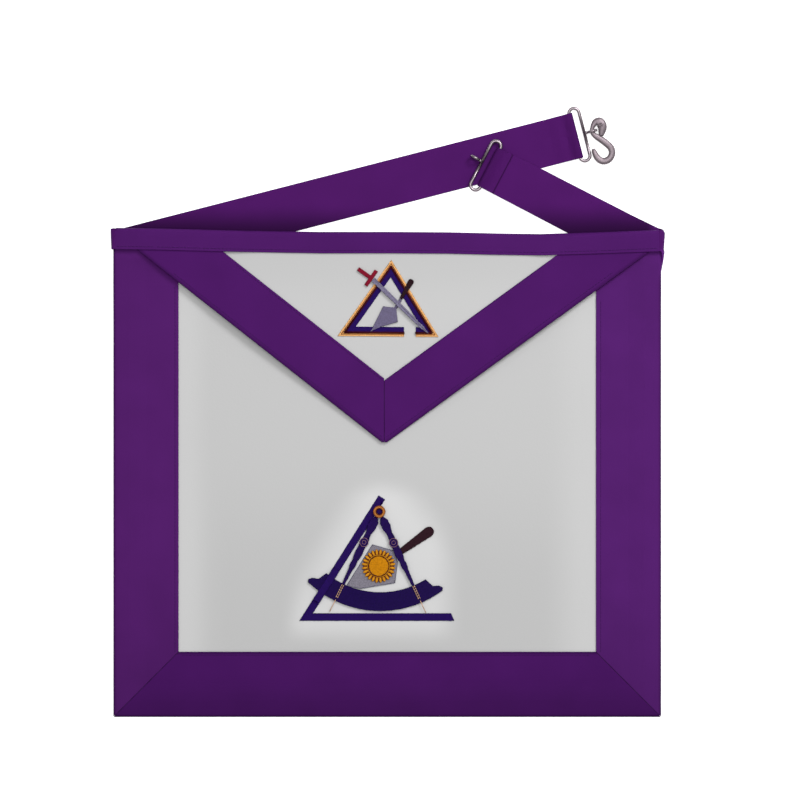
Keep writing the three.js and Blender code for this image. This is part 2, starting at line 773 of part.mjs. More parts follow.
function quadrantOutline() {
  const at = (radius, degrees) => {
    const angle = THREE.MathUtils.degToRad(degrees);
    return quadrant_centre.clone()
      .add(new THREE.Vector2(Math.cos(angle), Math.sin(angle)).multiplyScalar(radius));
  };
  const steps = 18;
  const spread = (radius, from, to) => Array.from({ length: steps + 1 }, (_, n) => (
    at(radius, from + (to - from) * n / steps)));
  const notch = (quadrant_inner + quadrant_outer) / 2;
  const rounding = quadrant_outer - 1.8;
  return [
    ...spread(quadrant_outer, quadrant_from - quadrant_lip, quadrant_to + quadrant_lip),
    at(rounding, quadrant_to + quadrant_lip + 0.9),
    at(rounding - 2.6, quadrant_to + quadrant_lip),
    at(notch, quadrant_to + 1.6),
    ...spread(quadrant_inner, quadrant_to, quadrant_from),
    at(notch, quadrant_from - 1.6),
    at(rounding - 2.6, quadrant_from - quadrant_lip),
    at(rounding, quadrant_from - quadrant_lip - 0.9),
  ];
}

// Compasses: two turned legs from a round head; shares of the leg's length and of its width
const compass_head = new THREE.Vector2(-5.9, -29.0);
const compass_spread = { left: 26.4, right: 24.7 };
const leg_length = 60.4;
const leg_half = 3.4;
const point_length = 22.2;
const point_width = 0.9;
const knuckle_radius = 3.4;
const head_radius = 4.5;
const head_hole = 2.2;
const leg_profile = [
  { along: 0.085, half: 0.42 },
  { along: 0.13, half: 0.92 },
  { along: 0.21, half: 0.97 },
  { along: 0.3, half: 0.62 },
  { along: 0.4, half: 0.7 },
  { along: 0.5, half: 0.76 },
  { along: 0.56, half: 0.86 },
  { along: 0.63, half: 0.74 },
  { along: 0.67, half: 0.56 },
  { along: 0.71, half: 0.68 },
  { along: 0.755, half: 0.64 },
  { along: 0.785, half: 0.47 },
  { along: 0.9, half: 0.4 },
  { along: 1.0, half: 0.28 },
];

function compassDirection(side) {
  const angle = THREE.MathUtils.degToRad(side < 0 ? compass_spread.left : compass_spread.right);
  return new THREE.Vector2(side * Math.sin(angle), -Math.cos(angle));
}

function compassParts() {
  const high = 3 * thread + 2 * gap;
  const parts = [{ outline: disc(compass_head.x, compass_head.y, head_hole - gap), high }];
  [-1, 1].forEach((side) => {
    const direction = compassDirection(side);
    const rows = leg_profile.map((row) => ({ s: row.along * leg_length, half: row.half * leg_half }));
    const neck = [{ s: 0, half: 1.3 }, { s: rows[0].s + 1, half: 1.3 }];
    const knuckle = compass_head.clone().addScaledVector(direction, 0.42 * leg_length);
    parts.push({ outline: strip(compass_head, direction, rows), high });
    parts.push({ outline: strip(compass_head, direction, neck), high: 2 * thread + gap });
    parts.push({ outline: disc(knuckle.x, knuckle.y, knuckle_radius, 16), high: high + 0.3 });
  });
  return parts;
}

function compassPoint(side, beneath) {
  const direction = compassDirection(side);
  const rows = [
    { s: leg_length + gap, half: point_width / 2 },
    { s: leg_length + point_length - 2, half: point_width / 2 },
    { s: leg_length + point_length, half: point_width / 4 },
  ];
  const outline = strip(compass_head, direction, rows);
  return figure(body_base, [{ outline, high: 3 * thread + 2 * gap }], beneath);
}

// Trowel: a leaning five-sided blade and a round-ended handle
const blade_corners = [
  [-11.1, -53.5], [-30.2, -84.0], [-20.1, -86.1], [5.7, -81.9], [7.7, -66.5], [4.7, -58.0],
];
const handle_start = new THREE.Vector2(10.0, -58.8);
const handle_end = new THREE.Vector2(30.8, -44.0);
const handle_narrow = 2.3;
const handle_wide = 3.8;

function roundedHandle(start, end, narrow, wide) {
  const direction = end.clone().sub(start);
  const length = direction.length();
  const round = [0, 1, 2, 3, 4, 5, 6].map((n) => {
    const angle = n * Math.PI / 12;
    return { s: length + wide * Math.sin(angle), half: Math.max(0.3, wide * Math.cos(angle)) };
  });
  return strip(start, direction, [{ s: 0, half: narrow }, ...round]);
}

// Sun: a disc and a ring of rounded rays
const sun_centre = new THREE.Vector2(-6.4, -69.4);
const sun_disc_radius = 7.3;
const sun_ray_inner = 7.9;
const sun_ray_outer = 12.5;
const sun_ray_valley = 11.0;
const sun_rays = 24;

function sunRing() {
  const steps = sun_rays * 4;
  const outer = Array.from({ length: steps }, (_, n) => {
    const share = Math.abs(Math.sin(n * Math.PI * sun_rays / steps));
    const radius = THREE.MathUtils.lerp(sun_ray_valley, sun_ray_outer, share);
    const angle = 2 * Math.PI * n / steps;
    return new THREE.Vector2(Math.cos(angle), Math.sin(angle)).multiplyScalar(radius).add(sun_centre);
  });
  const high = 2 * thread + gap;
  const hole = raised(disc(sun_centre.x, sun_centre.y, sun_ray_inner, 32), 0, 20);
  return { parts: [{ outline: outer, high }], hole };
}

// Bib emblem: two open triangles, a sword and a small trowel
const bib_base = bib_high + bib_leather + gap;
const triangle_apex = new THREE.Vector2(3.0, 157.4);
const triangle_left = new THREE.Vector2(-36.9, 101.0);
const triangle_right = new THREE.Vector2(38.0, 100.4);
const gold_band = 2.7;
const blue_band = 4.1;
const opening_left = 12.4;
const opening_right = 21.1;

function triangleBand(inset, band) {
  const corners = [triangle_apex, triangle_left, triangle_right];
  const outer = grown(corners, -inset);
  const inner = grown(corners, -inset - band);
  const cut = (ring, x) => {
    const low = [...ring].sort((a, b) => a.y - b.y).slice(0, 2).sort((a, b) => a.x - b.x);
    const share = (x - low[0].x) / (low[1].x - low[0].x);
    return low[0].clone().lerp(low[1], share);
  };
  const order = (ring) => {
    const by_y = [...ring].sort((a, b) => b.y - a.y);
    const [left, right] = by_y.slice(1).sort((a, b) => a.x - b.x);
    return { apex: by_y[0], left, right };
  };
  const o = order(outer);
  const i = order(inner);
  return [
    cut(outer, opening_right), o.right, o.apex, o.left, cut(outer, opening_left),
    cut(inner, opening_left), i.left, i.apex, i.right, cut(inner, opening_right),
  ];
}

const sword_grip = new THREE.Vector2(-21.6, 150.7);
const sword_heel = new THREE.Vector2(-10.5, 142.9);
const sword_tip = new THREE.Vector2(30.3, 103.1);
const grip_half = 1.5;
const guard_half_length = 6.8;
const sword_half = 1.75;
const small_blade = [
  [-3.0, 123.0], [-11.0, 107.1], [-12.8, 103.9], [-4.2, 108.0], [7.8, 111.4], [6.6, 121.9],
];
const small_handle_top = new THREE.Vector2(17.4, 140.9);
const small_handle_foot = new THREE.Vector2(10.1, 128.6);
const shank_foot = new THREE.Vector2(5.6, 121.0);

// The apron, piece by piece
add('body_panel', bodyPanel(), WHITE);
add('border_left', sideBorder(-1), PURPLE);
add('border_right', sideBorder(1), PURPLE);
add('border_bottom', bottomBorder(), PURPLE);
add('waistband', waistband(), PURPLE);
add('flap_panel', bibPanel(), WHITE);
add('flap_border_left', bibBorder(-1), PURPLE);
add('flap_border_right', bibBorder(1), PURPLE);
add('strap_left', strap(-1), PURPLE);
add('strap_right', strap(1), PURPLE);
add('hook_keeper', keeper(-1), NICKEL);
add('eye_keeper', keeper(1), NICKEL);
add('snake_hook', snakeHook(), NICKEL);

const square = [
  { outline: squareOutline(), high: thread },
  { outline: squareOver(), high: 3 * thread + 2 * gap },
];
const blade = [{ outline: polygon(blade_corners), high: thread }];
const handle = [{
  outline: roundedHandle(handle_start, handle_end, handle_narrow, handle_wide), high: 2 * thread,
}];
const quadrant = [{ outline: quadrantOutline(), high: 2 * thread + gap }];
const compasses = compassParts();
add('square', figure(body_base, square, [quadrant]), VIOLET);
add('quadrant', figure(body_base, quadrant, [blade]), VIOLET);
add('trowel_blade', figure(body_base, blade), SILVER);
add('trowel_handle', figure(body_base, handle), BROWN);
const sun_ring = sunRing();
const sun_centre_disc = [{
  outline: disc(sun_centre.x, sun_centre.y, sun_disc_radius, 32), high: 2 * thread + gap + 0.4,
}];
add('sun_rays', figure(body_base, sun_ring.parts, [blade]).subtract(sun_ring.hole), GOLD);
add('sun_disc', figure(body_base, sun_centre_disc, [blade]), GOLD);
add('compasses', figure(body_base, compasses, [square, quadrant, blade, handle]), VIOLET);
const head_ring = figure(body_base, [{
  outline: disc(compass_head.x, compass_head.y, head_radius), high: 3 * thread + 2 * gap + 0.5,
}], [square, compasses]);
const head_opening = raised(disc(compass_head.x, compass_head.y, head_hole), 0, 20);
add('compass_pivot', head_ring.subtract(head_opening), AMBER);
add('compass_point_left', compassPoint(-1, [square, quadrant]), AMBER);
add('compass_point_right', compassPoint(1, [square, quadrant]), AMBER);

const gold_triangle = [{ outline: triangleBand(0, gold_band), high: thread }];
const blue_triangle = [{ outline: triangleBand(gold_band + gap, blue_band), high: thread }];
const small_trowel = [
  { outline: polygon(small_blade), high: 2 * thread + gap },
  {
    outline: strip(shank_foot, small_handle_foot.clone().sub(shank_foot), [
      { s: 0, half: 1.0 }, { s: small_handle_foot.distanceTo(shank_foot) - gap, half: 1.0 },
    ]),
    high: thread,
  },
];
const small_handle = [{
  outline: roundedHandle(small_handle_foot, small_handle_top, 1.2, 2.2), high: 2 * thread + gap,
}];
const sword_line = sword_tip.clone().sub(sword_heel);
const sword_length = sword_line.length();
const sword = [{
  outline: strip(sword_heel, sword_line, [
    { s: 0, half: sword_half },
    { s: sword_length * 0.9, half: sword_half * 0.75 },
    { s: sword_length, half: 0.3 },
  ]),
  high: 3 * thread + 2 * gap,
}];
const hilt_line = sword_heel.clone().sub(sword_grip);
const hilt_length = hilt_line.length();
const hilt = [{
  outline: strip(sword_grip, hilt_line, [
    { s: 0, half: grip_half },
    { s: hilt_length - gap - 2.8, half: grip_half },
    { s: hilt_length - gap - 2.8, half: guard_half_length },
    { s: hilt_length - gap, half: guard_half_length },
  ]),
  high: 2 * thread + gap,
}];
add('flap_gold_triangle', figure(bib_base, gold_triangle), AMBER);
add('flap_blue_triangle', figure(bib_base, blue_triangle), VIOLET);
add('flap_trowel', figure(bib_base, small_trowel, [gold_triangle, blue_triangle]), SILVER);
add('flap_trowel_handle', figure(bib_base, small_handle, [gold_triangle, blue_triangle]), BROWN);
add('flap_sword_blade', figure(bib_base, sword, [gold_triangle, blue_triangle, small_trowel]), SILVER);
add('flap_sword_hilt', figure(bib_base, hilt, [gold_triangle, blue_triangle]), RED);

export default apron;
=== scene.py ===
"""A white leather lodge apron with purple ribbon and embroidered emblems, laid flat on a table."""

import math
import random

import bmesh
import bpy
from mathutils import Matrix, Vector
from mathutils.bvhtree import BVHTree


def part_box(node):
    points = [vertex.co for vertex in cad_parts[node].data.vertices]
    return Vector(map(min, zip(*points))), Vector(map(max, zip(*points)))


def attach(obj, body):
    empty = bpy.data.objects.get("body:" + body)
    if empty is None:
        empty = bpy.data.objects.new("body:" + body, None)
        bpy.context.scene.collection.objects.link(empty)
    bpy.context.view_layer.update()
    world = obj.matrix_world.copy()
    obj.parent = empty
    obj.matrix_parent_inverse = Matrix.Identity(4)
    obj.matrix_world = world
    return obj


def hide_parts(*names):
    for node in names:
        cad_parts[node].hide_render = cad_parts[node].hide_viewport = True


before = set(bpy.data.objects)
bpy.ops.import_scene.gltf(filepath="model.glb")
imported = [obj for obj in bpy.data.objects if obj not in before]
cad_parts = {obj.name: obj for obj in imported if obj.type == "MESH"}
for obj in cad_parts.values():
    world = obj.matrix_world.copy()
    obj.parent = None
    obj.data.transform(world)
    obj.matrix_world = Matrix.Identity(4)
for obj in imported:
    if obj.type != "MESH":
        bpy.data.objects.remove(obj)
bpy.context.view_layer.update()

# Body: one white lambskin, about 1.5 mm thick and cut square, its edges taken inside the ribbon's
# fold. The grain side is up, dyed white and matt. Painted light makes it lighter beside the side
# borders and a glow round the lower emblem, and painted shade darkens it towards the bottom.
leather_cells = 0.006
row_merge = 0.0009
corner_merge = 0.000005
cut_merge = 0.0000005
flat_turn = math.radians(0.3)
butt_near = 0.0002
butt_floor = 0.006
leather_grain = 0.0014
body_rounds = 24
leather_white = "b9b9b9"
# Painted light and shade on the body's white: darker towards the bottom, lighter beside each side
# border, and a painted glow round the lower emblem.
body_painted_light_and_shade = [
    {"steps": [((0, -1), -0.02, 0.09)], "tone": 0.945},
    {"steps": [((-1, 0), 0.128, 0.15)], "tone": 1.075},
    {"steps": [((-1, 0), 0.116, 0.147), ((0, -1), -0.03, 0.08)], "tone": 1.07},
    {"steps": [((1, 0), 0.115, 0.147)], "tone": 1.055},
    {"steps": [((1, 0), 0.11, 0.147), ((0, -1), -0.03, 0.08)], "tone": 1.065},
    {"steps": [((0, -1), 0.131, 0.11), ((0, 1), 0.0, -0.021), ((1, 0), 0.059, 0.031),
               ((-1, 0), 0.082, 0.06), ((-0.843, 0.538), 0.0245, -0.0045),
               ((0.76, 0.65), 0.0165, -0.0125)], "tone": 1.25},
]


def linear(code):
    """An sRGB hex colour as the linear colour that a shader socket takes."""
    shares = [int(code[n:n + 2], 16) / 255 for n in (0, 2, 4)]
    return (*[s / 12.92 if s <= 0.04045 else ((s + 0.055) / 1.055) ** 2.4 for s in shares], 1)


def add_node(tree, kind, sockets=None, **settings):
    """A shader node with its settings, and its sockets given a value or linked."""
    node = tree.nodes.new(kind)
    for name, value in settings.items():
        setattr(node, name, value)
    for name, value in (sockets or {}).items():
        if isinstance(value, bpy.types.NodeSocket):
            tree.links.new(value, node.inputs[name])
        else:
            node.inputs[name].default_value = value
    return node


def blank_finish(name):
    """A new material with an empty node tree and its place on the object."""
    finish = bpy.data.materials.new(name)
    finish.use_nodes = True
    finish.node_tree.nodes.clear()
    place = add_node(finish.node_tree, "ShaderNodeTexCoord").outputs["Object"]
    return finish, finish.node_tree, place


def stepped(tree, place, steps, tone):
    """A share that goes from 1 to a tone where every smooth step along a direction is passed."""
    passed = None
    for across, start, end in steps:
        along = add_node(tree, "ShaderNodeVectorMath", {0: place, 1: (*across, 0)},
                         operation="DOT_PRODUCT")
        step = add_node(tree, "ShaderNodeMapRange", {
            "Value": along.outputs["Value"], "From Min": start, "From Max": end,
        }, interpolation_type="SMOOTHSTEP").outputs["Result"]
        passed = step if passed is None else add_node(
            tree, "ShaderNodeMath", {0: passed, 1: step}, operation="MULTIPLY").outputs[0]
    return add_node(tree, "ShaderNodeMapRange", {"Value": passed, "To Min": 1,
                                                 "To Max": tone}).outputs["Result"]


def toned(tree, colour, share):
    """A colour made lighter or darker by a share."""
    return add_node(tree, "ShaderNodeVectorMath", {0: colour, "Scale": share},
                    operation="SCALE").outputs["Vector"]


def leather_finish(name, code, tones):
    """Dyed lambskin: matt, with a fine pebbled grain that softens the light on it."""
    finish, tree, place = blank_finish(name)
    colour = add_node(tree, "ShaderNodeRGB").outputs["Color"]
    colour.default_value = linear(code)
    # Each row of tones paints light or shade into the skin's colour.
    for row in tones:
        colour = toned(tree, colour, stepped(tree, place, row["steps"], row["tone"]))
    grain = add_node(tree, "ShaderNodeTexVoronoi", {"Vector": place, "Scale": 1 / leather_grain},
                     feature="SMOOTH_F1")
    bump = add_node(tree, "ShaderNodeBump", {"Strength": 0.25, "Distance": 0.00012,
                                             "Height": grain.outputs["Distance"]})
    skin = add_node(tree, "ShaderNodeBsdfPrincipled", {
        "Base Color": colour, "Roughness": 0.72, "IOR": 1.45, "Specular IOR Level": 0.1,
        "Normal": bump.outputs["Normal"],
    })
    add_node(tree, "ShaderNodeOutputMaterial", {"Surface": skin.outputs["BSDF"]})
    return finish


def copied(node):
    """A CAD node's triangles as a mesh of flat faces, its shared corners merged."""
    bm = bmesh.new()
    bm.from_mesh(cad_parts[node].data)
    bmesh.ops.remove_doubles(bm, verts=bm.verts, dist=corner_merge)
    bmesh.ops.dissolve_limit(bm, angle_limit=flat_turn, verts=bm.verts, edges=bm.edges)
    return bm


def sliced(bm, direction, step):
    """Cuts the mesh at even steps along a direction."""
    direction = Vector(direction)
    spots = [v.co.dot(direction) for v in bm.verts]
    low, high = min(spots), max(spots)
    count = max(1, round((high - low) / step))
    for n in range(1, count):
        bmesh.ops.bisect_plane(bm, geom=bm.verts[:] + bm.edges[:] + bm.faces[:], dist=cut_merge,
                               plane_co=direction * (low + (high - low) * n / count),
                               plane_no=direction)


def butts(vert, butt):
    """Whether a corner is on the high end of a ribbon that butts on the next piece."""
    return butt and abs(abs(vert.co.x) - butt) < butt_near and vert.co.z > butt_floor


def rounded_edges(bm, radius, angle=60, butt=None):
    """Rounds the edges that turn sharply, but not a high end that butts on the next piece."""
    def joined(edge):
        return all(butts(v, butt) for v in edge.verts)
    sharp = [e for e in bm.edges if e.is_manifold and e.calc_face_angle() > math.radians(angle)
             and not joined(e)]
    bmesh.ops.bevel(bm, geom=sharp, offset=radius, affect="EDGES", segments=2, profile=0.5,
                    material=-1)


def eased(bm, rounds):
    """Eases the bends of a lying sheet, and leaves its cut edges where they are."""
    bmesh.ops.remove_doubles(bm, verts=bm.verts, dist=row_merge)
    lying = [v for v in bm.verts if all(abs(f.normal.z) > 0.8 for f in v.link_faces)]
    for _ in range(rounds):
        bmesh.ops.smooth_vert(bm, verts=lying, factor=0.5, use_axis_z=True)


def made(name, bm, finish, smooth=True):
    """The finished mesh as an object at the origin, in its material."""
    bmesh.ops.recalc_face_normals(bm, faces=bm.faces)
    mesh = bpy.data.meshes.new(name)
    bm.to_mesh(mesh)
    bm.free()
    mesh.materials.append(finish)
    if smooth:
        mesh.shade_smooth()
    piece = bpy.data.objects.new(name, mesh)
    bpy.context.scene.collection.objects.link(piece)
    return piece


def even_shading(piece):
    """Keeps the flat of a sheet flat in the light beside its rounded edge."""
    piece.modifiers.new("even shading", "WEIGHTED_NORMAL").keep_sharp = True


bm = copied("body_panel")
for direction in ((1, 0, 0), (0, 1, 0)):
    sliced(bm, direction, leather_cells)
eased(bm, body_rounds)
body_leather = made("body_leather", bm,
                    leather_finish("white_lambskin_body", leather_white, body_painted_light_and_shade))
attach(body_leather, "apron")
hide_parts("body_panel")

# Border: close-woven purple ribbon folded round the edge of the skin, stitched through near its
# inner edge and mitred at the two lower corners. Each length is one strip, about 64 mm wide.
ribbon_cells = 0.006
ribbon_edge = 0.0003
ribbon_rib = 0.0009
border_flat = (0.066, 0.362)
hem_flat = (0.066, 0.406)
# Painted shade on the border ribbons: darker towards the bottom and up under the waistband.
border_painted_shade = [
    {"steps": [((0, -1), 0.06, 0.18)], "tone": 0.82},
    {"steps": [((0, 1), 0.13, 0.175)], "tone": 0.9},
]
# Each piece's tones paint more light and shade: painted shade along the folded outer edge, painted
# light on each side ribbon's upper corner under the waistband, and on the hem painted shade
# towards the bottom and a darker line along its inner edge.
border_pieces = [
    {"node": "border_left", "name": "side_ribbon_left", "colour": "4c1a61", "flat": border_flat,
     "turn": 0, "tones": [
         {"steps": [((-1, 0), 0.2, 0.203)], "tone": 0.6},
         {"steps": [((-1, 0), 0.165, 0.185), ((0, 1), 0.155, 0.163)], "tone": 1.12},
         *border_painted_shade,
     ]},
    {"node": "border_right", "name": "side_ribbon_right", "colour": "4e1c65",
     "flat": border_flat, "turn": 0, "line_from": 0.2024,
     "line": [(0.1485, 0.203), (0.157, 0.2047), (0.1645, 0.2058), (0.2, 0.2058)], "tones": [
         {"steps": [((1, 0), 0.2, 0.203), ((0, -1), -0.15, -0.14)], "tone": 0.6},
         {"steps": [((1, 0), 0.186, 0.199), ((0, 1), 0.15, 0.162)], "tone": 1.12},
         *border_painted_shade,
     ]},
    {"node": "border_bottom", "name": "hem_ribbon", "colour": "411257", "flat": hem_flat,
     "turn": 90, "tones": [
         {"steps": [((0, -1), 0.145, 0.178)], "tone": 0.78},
         {"steps": [((0, -1), 0.1785, 0.181)], "tone": 0.65},
         {"steps": [((0, 1), -0.1354, -0.1338)], "tone": 0.68},
     ]},
]
seam_purple = "2c0a3c"
seam_radius = 0.0003
mitre_depths = [0.0483, 0.036, 0.025, 0.013, 0.004, 0.0012]
body_half = (0.203, 0.18125)
stitch_purple = "35104a"
stitch_long = 0.0019
stitch_pitch = 0.0028
stitch_radius = 0.00018
seam_show = 0.8
seam_aside = 0.0006
well_past = 0.001
corner_share = 0.9
corner_cuts = 4
border_stitch_lines = [
    [(-0.1573, -0.133), (-0.1573, 0.14)], [(0.1582, -0.133), (0.1582, 0.128)],
    [(-0.152, -0.1355), (0.152, -0.1355)],
]


def ribbon_finish(name, code, turn, tones):
    """Ribbon: dull purple with fine ribs across its length and a faint sheen at low angles."""
    finish, tree, place = blank_finish(name)
    colour = add_node(tree, "ShaderNodeRGB").outputs["Color"]
    colour.default_value = linear(code)
    # Each row of tones paints light or shade into the ribbon's colour.
    for row in tones:
        colour = toned(tree, colour, stepped(tree, place, row["steps"], row["tone"]))
    cloudy = add_node(tree, "ShaderNodeTexNoise", {"Vector": place, "Scale": 28, "Detail": 2})
    share = add_node(tree, "ShaderNodeMapRange", {
        "Value": cloudy.outputs["Fac"], "From Min": 0.3, "From Max": 0.7, "To Min": 0.95,
        "To Max": 1.05,
    })
    colour = toned(tree, colour, share.outputs["Result"])
    turned = add_node(tree, "ShaderNodeMapping", {
        "Vector": place, "Rotation": (0, 0, math.radians(turn)),
    }).outputs["Vector"]
    ribs = add_node(tree, "ShaderNodeTexWave", {
        "Vector": turned, "Scale": 2 * math.pi / 20 / ribbon_rib, "Distortion": 0.6,
        "Detail Scale": 3,
    }, bands_direction="Y")
    bump = add_node(tree, "ShaderNodeBump", {"Strength": 0.3, "Distance": 0.0001,
                                             "Height": ribs.outputs["Fac"]})
    cloth = add_node(tree, "ShaderNodeBsdfPrincipled", {
        "Base Color": colour, "Roughness": 0.7, "Specular IOR Level": 0.03, "Sheen Weight": 0.01,
        "Sheen Roughness": 0.4, "Sheen Tint": linear("9a5fc0"), "Normal": bump.outputs["Normal"],
    })
    add_node(tree, "ShaderNodeOutputMaterial", {"Surface": cloth.outputs["BSDF"]})
    return finish


def sliced_past(bm, side_at, levels):
    """Cuts the part of a ribbon that lies past a side of the apron across, at some heights."""
    side = math.copysign(1, side_at)
    for level in levels:
        past = {f for f in bm.faces if any(v.co.x * side > abs(side_at) for v in f.verts)}
        faces = [f for f in bm.faces if f in past]
        edges = [e for e in bm.edges if any(f in past for f in e.link_faces)]
        corners = [v for v in bm.verts if any(f in past for f in v.link_faces)]
        bmesh.ops.bisect_plane(bm, geom=faces + edges + corners, dist=cut_merge,
                               plane_co=(0, level, 0), plane_no=(0, 1, 0))


def soften_corner(bm, side_at, radius):
    """Rounds the upper corner of a ribbon where it turns back past the side of the apron."""
    top = max(v.co.y for v in bm.verts if abs(v.co.x) > side_at + well_past)
    sliced_past(bm, side_at, [top - radius * (1 - n / corner_cuts) for n in range(corner_cuts)])
    for vert in bm.verts:
        over = vert.co.x - side_at
        climb = min(corner_share, (vert.co.y - top) / radius + 1)
        if over > 0 and climb > 0:
            vert.co.x = side_at + over * math.sqrt(1 - climb * climb)


def side_line(bm, side_at, line, flared=False):
    """Draws a ribbon's outer edge in to a line down its side, or flares it out to that line."""
    side = math.copysign(1, side_at)
    sliced_past(bm, side_at, [level for level, reach in line])
    for vert in bm.verts:
        out = vert.co.x * side
        for (low, a), (high, b) in zip(line, line[1:]):
            if out > abs(side_at) and low <= vert.co.y < high:
                reach = a + (b - a) * (vert.co.y - low) / (high - low)
                vert.co.x = side * (out + reach - line[0][1] if flared else min(out, reach))


def ribbon_piece(row):
    """A ribbon of the apron, edges rounded, its purple set per piece by painted light and shade.
    """
    bm = copied(row["node"])
    butt = row.get("butt")
    rounded_edges(bm, ribbon_edge, butt=butt)
    for direction in ((1, 0, 0), (0, 1, 0)):
        sliced(bm, direction, ribbon_cells)
    for vert in bm.verts:
        if row.get("reach") and butts(vert, butt):
            vert.co.x += math.copysign(row["reach"], vert.co.x)
    if row.get("soft_corner"):
        soften_corner(bm, butt, row["soft_corner"])
    if row.get("line"):
        side_line(bm, row["line_from"], row["line"], flared=not butt)
    piece = made(row["name"], bm, ribbon_finish(f"purple_ribbon_{row['name']}", row["colour"],
                                                row["turn"], row["tones"]))
    even_shading(piece)
    return piece


def cord_run(bm, points, radius, sides=6):
    """A thread or cord laid straight from point to point."""
    for a, b in zip(points, points[1:]):
        a, b = Vector(a), Vector(b)
        place = (Matrix.Translation((a + b) / 2)
                 @ (b - a).to_track_quat("Z", "Y").to_matrix().to_4x4())
        bmesh.ops.create_cone(bm, cap_ends=True, segments=sides, radius1=radius, radius2=radius,
                              depth=(b - a).length + radius, matrix=place)


def upper_side(nodes):
    """Looks down on some CAD nodes: gives the height of what lies uppermost at a place."""
    corners, faces = [], []
    for node in nodes:
        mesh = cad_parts[node].data
        faces += [[v + len(corners) for v in face.vertices] for face in mesh.polygons]
        corners += [v.co.copy() for v in mesh.vertices]
    tree = BVHTree.FromPolygons(corners, faces)
    return lambda x, y: tree.ray_cast(Vector((x, y, 1)), Vector((0, 0, -1)))[0].z


def plain_thread(name, code):
    """Polyester sewing thread: dull, one colour, darker than the ribbon it sinks into."""
    finish, tree, place = blank_finish(name)
    thread = add_node(tree, "ShaderNodeBsdfPrincipled", {
        "Base Color": linear(code), "Roughness": 0.7, "Specular IOR Level": 0.1,
    })
    add_node(tree, "ShaderNodeOutputMaterial", {"Surface": thread.outputs["BSDF"]})
    return finish


def stitch_row(bm, start, end, height_at):
    """Lock stitches from one place to another, half sunk into what they hold."""
    start, end = Vector(start), Vector(end)
    count = int((end - start).length / stitch_pitch)
    way = (end - start).normalized()
    for n in range(count):
        a = start + way * (n * stitch_pitch)
        b = a + way * stitch_long
        cord_run(bm, [(*a, height_at(*a)), (*b, height_at(*b))], stitch_radius)


for row in border_pieces:
    ribbon = ribbon_piece(row)
    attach(ribbon, "apron")
    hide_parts(row["node"])

border_top = upper_side(["border_left", "border_right", "border_bottom", "body_panel"])
seam_thread = plain_thread("seam_thread", seam_purple)
edge_thread = plain_thread("edge_stitch_thread", stitch_purple)
bm = bmesh.new()
for side in (-1, 1):
    mitre = [(side * (body_half[0] - d), d - body_half[1]) for d in mitre_depths]
    heights = [border_top(x + side * seam_aside, y + seam_aside) - seam_show * seam_radius
               for x, y in mitre]
    cord_run(bm, [(*spot, height) for spot, height in zip(mitre, heights)], seam_radius)
mitre_seams = made("mitre_seams", bm, seam_thread)
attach(mitre_seams, "apron")
bm = bmesh.new()
for start, end in border_stitch_lines:
    stitch_row(bm, start, end, border_top)
border_stitches = made("border_stitches", bm, edge_thread)
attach(border_stitches, "apron")

# Bib: a pointed flap of thinner white skin sewn in under the waistband, with the same ribbon
# laid along its two slanting edges and mitred at the tip.
# Painted light and shade on the bib's white: a little lighter towards its tip, a little darker up
# under the waistband.
bib_painted_light_and_shade = [
    {"steps": [((0, -1), -0.15, -0.12)], "tone": 1.03},
    {"steps": [((0, 1), 0.13, 0.165)], "tone": 0.97},
]
# Each bib ribbon has painted shade along its outer, lower edge.
bib_ribbons = [
    {"node": "flap_border_left", "name": "bib_ribbon_left", "colour": "46155c", "turn": 38,
     "tones": [{"steps": [((-0.618, -0.786), -0.0182, -0.0155)], "tone": 0.66}]},
    {"node": "flap_border_right", "name": "bib_ribbon_right", "colour": "46155c", "turn": -36,
     "tones": [{"steps": [((0.5875, -0.8092), -0.0214, -0.0185)], "tone": 0.7}]},
]
bib_seam = [(-0.0022, 0.0235), (-0.0022, 0.03), (-0.0022, 0.0675)]
bib_seam_aside = 0.0008
bib_rounds = 8
bib_stitches = [
    [(-0.0022, 0.0675), (-0.114, 0.1555)], [(-0.0022, 0.0675), (0.119, 0.1555)],
    [(-0.0042, 0.0265), (-0.16, 0.149)], [(-0.0002, 0.0265), (0.168, 0.149)],
]
bm = copied("flap_panel")
for direction in ((1, 0, 0), (0, 1, 0)):
    sliced(bm, direction, leather_cells)
eased(bm, bib_rounds)
bib_leather = made("bib_leather", bm,
                   leather_finish("white_lambskin_bib", leather_white, bib_painted_light_and_shade))
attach(bib_leather, "apron")
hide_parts("flap_panel")
for row in bib_ribbons:
    ribbon = ribbon_piece(row)
    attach(ribbon, "apron")
    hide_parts(row["node"])

bib_top = upper_side(["flap_border_left", "flap_border_right"])
bm = bmesh.new()
cord_run(bm, [(x, y, bib_top(x + bib_seam_aside, y) - seam_show * seam_radius)
              for x, y in bib_seam], seam_radius)
tip_seam = made("bib_tip_seam", bm, seam_thread)
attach(tip_seam, "apron")
bm = bmesh.new()
bib_surface = upper_side(["flap_border_left", "flap_border_right", "flap_panel"])
for start, end in bib_stitches:
    stitch_row(bm, start, end, bib_surface)
bib_stitching = made("bib_stitches", bm, edge_thread)
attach(bib_stitching, "apron")
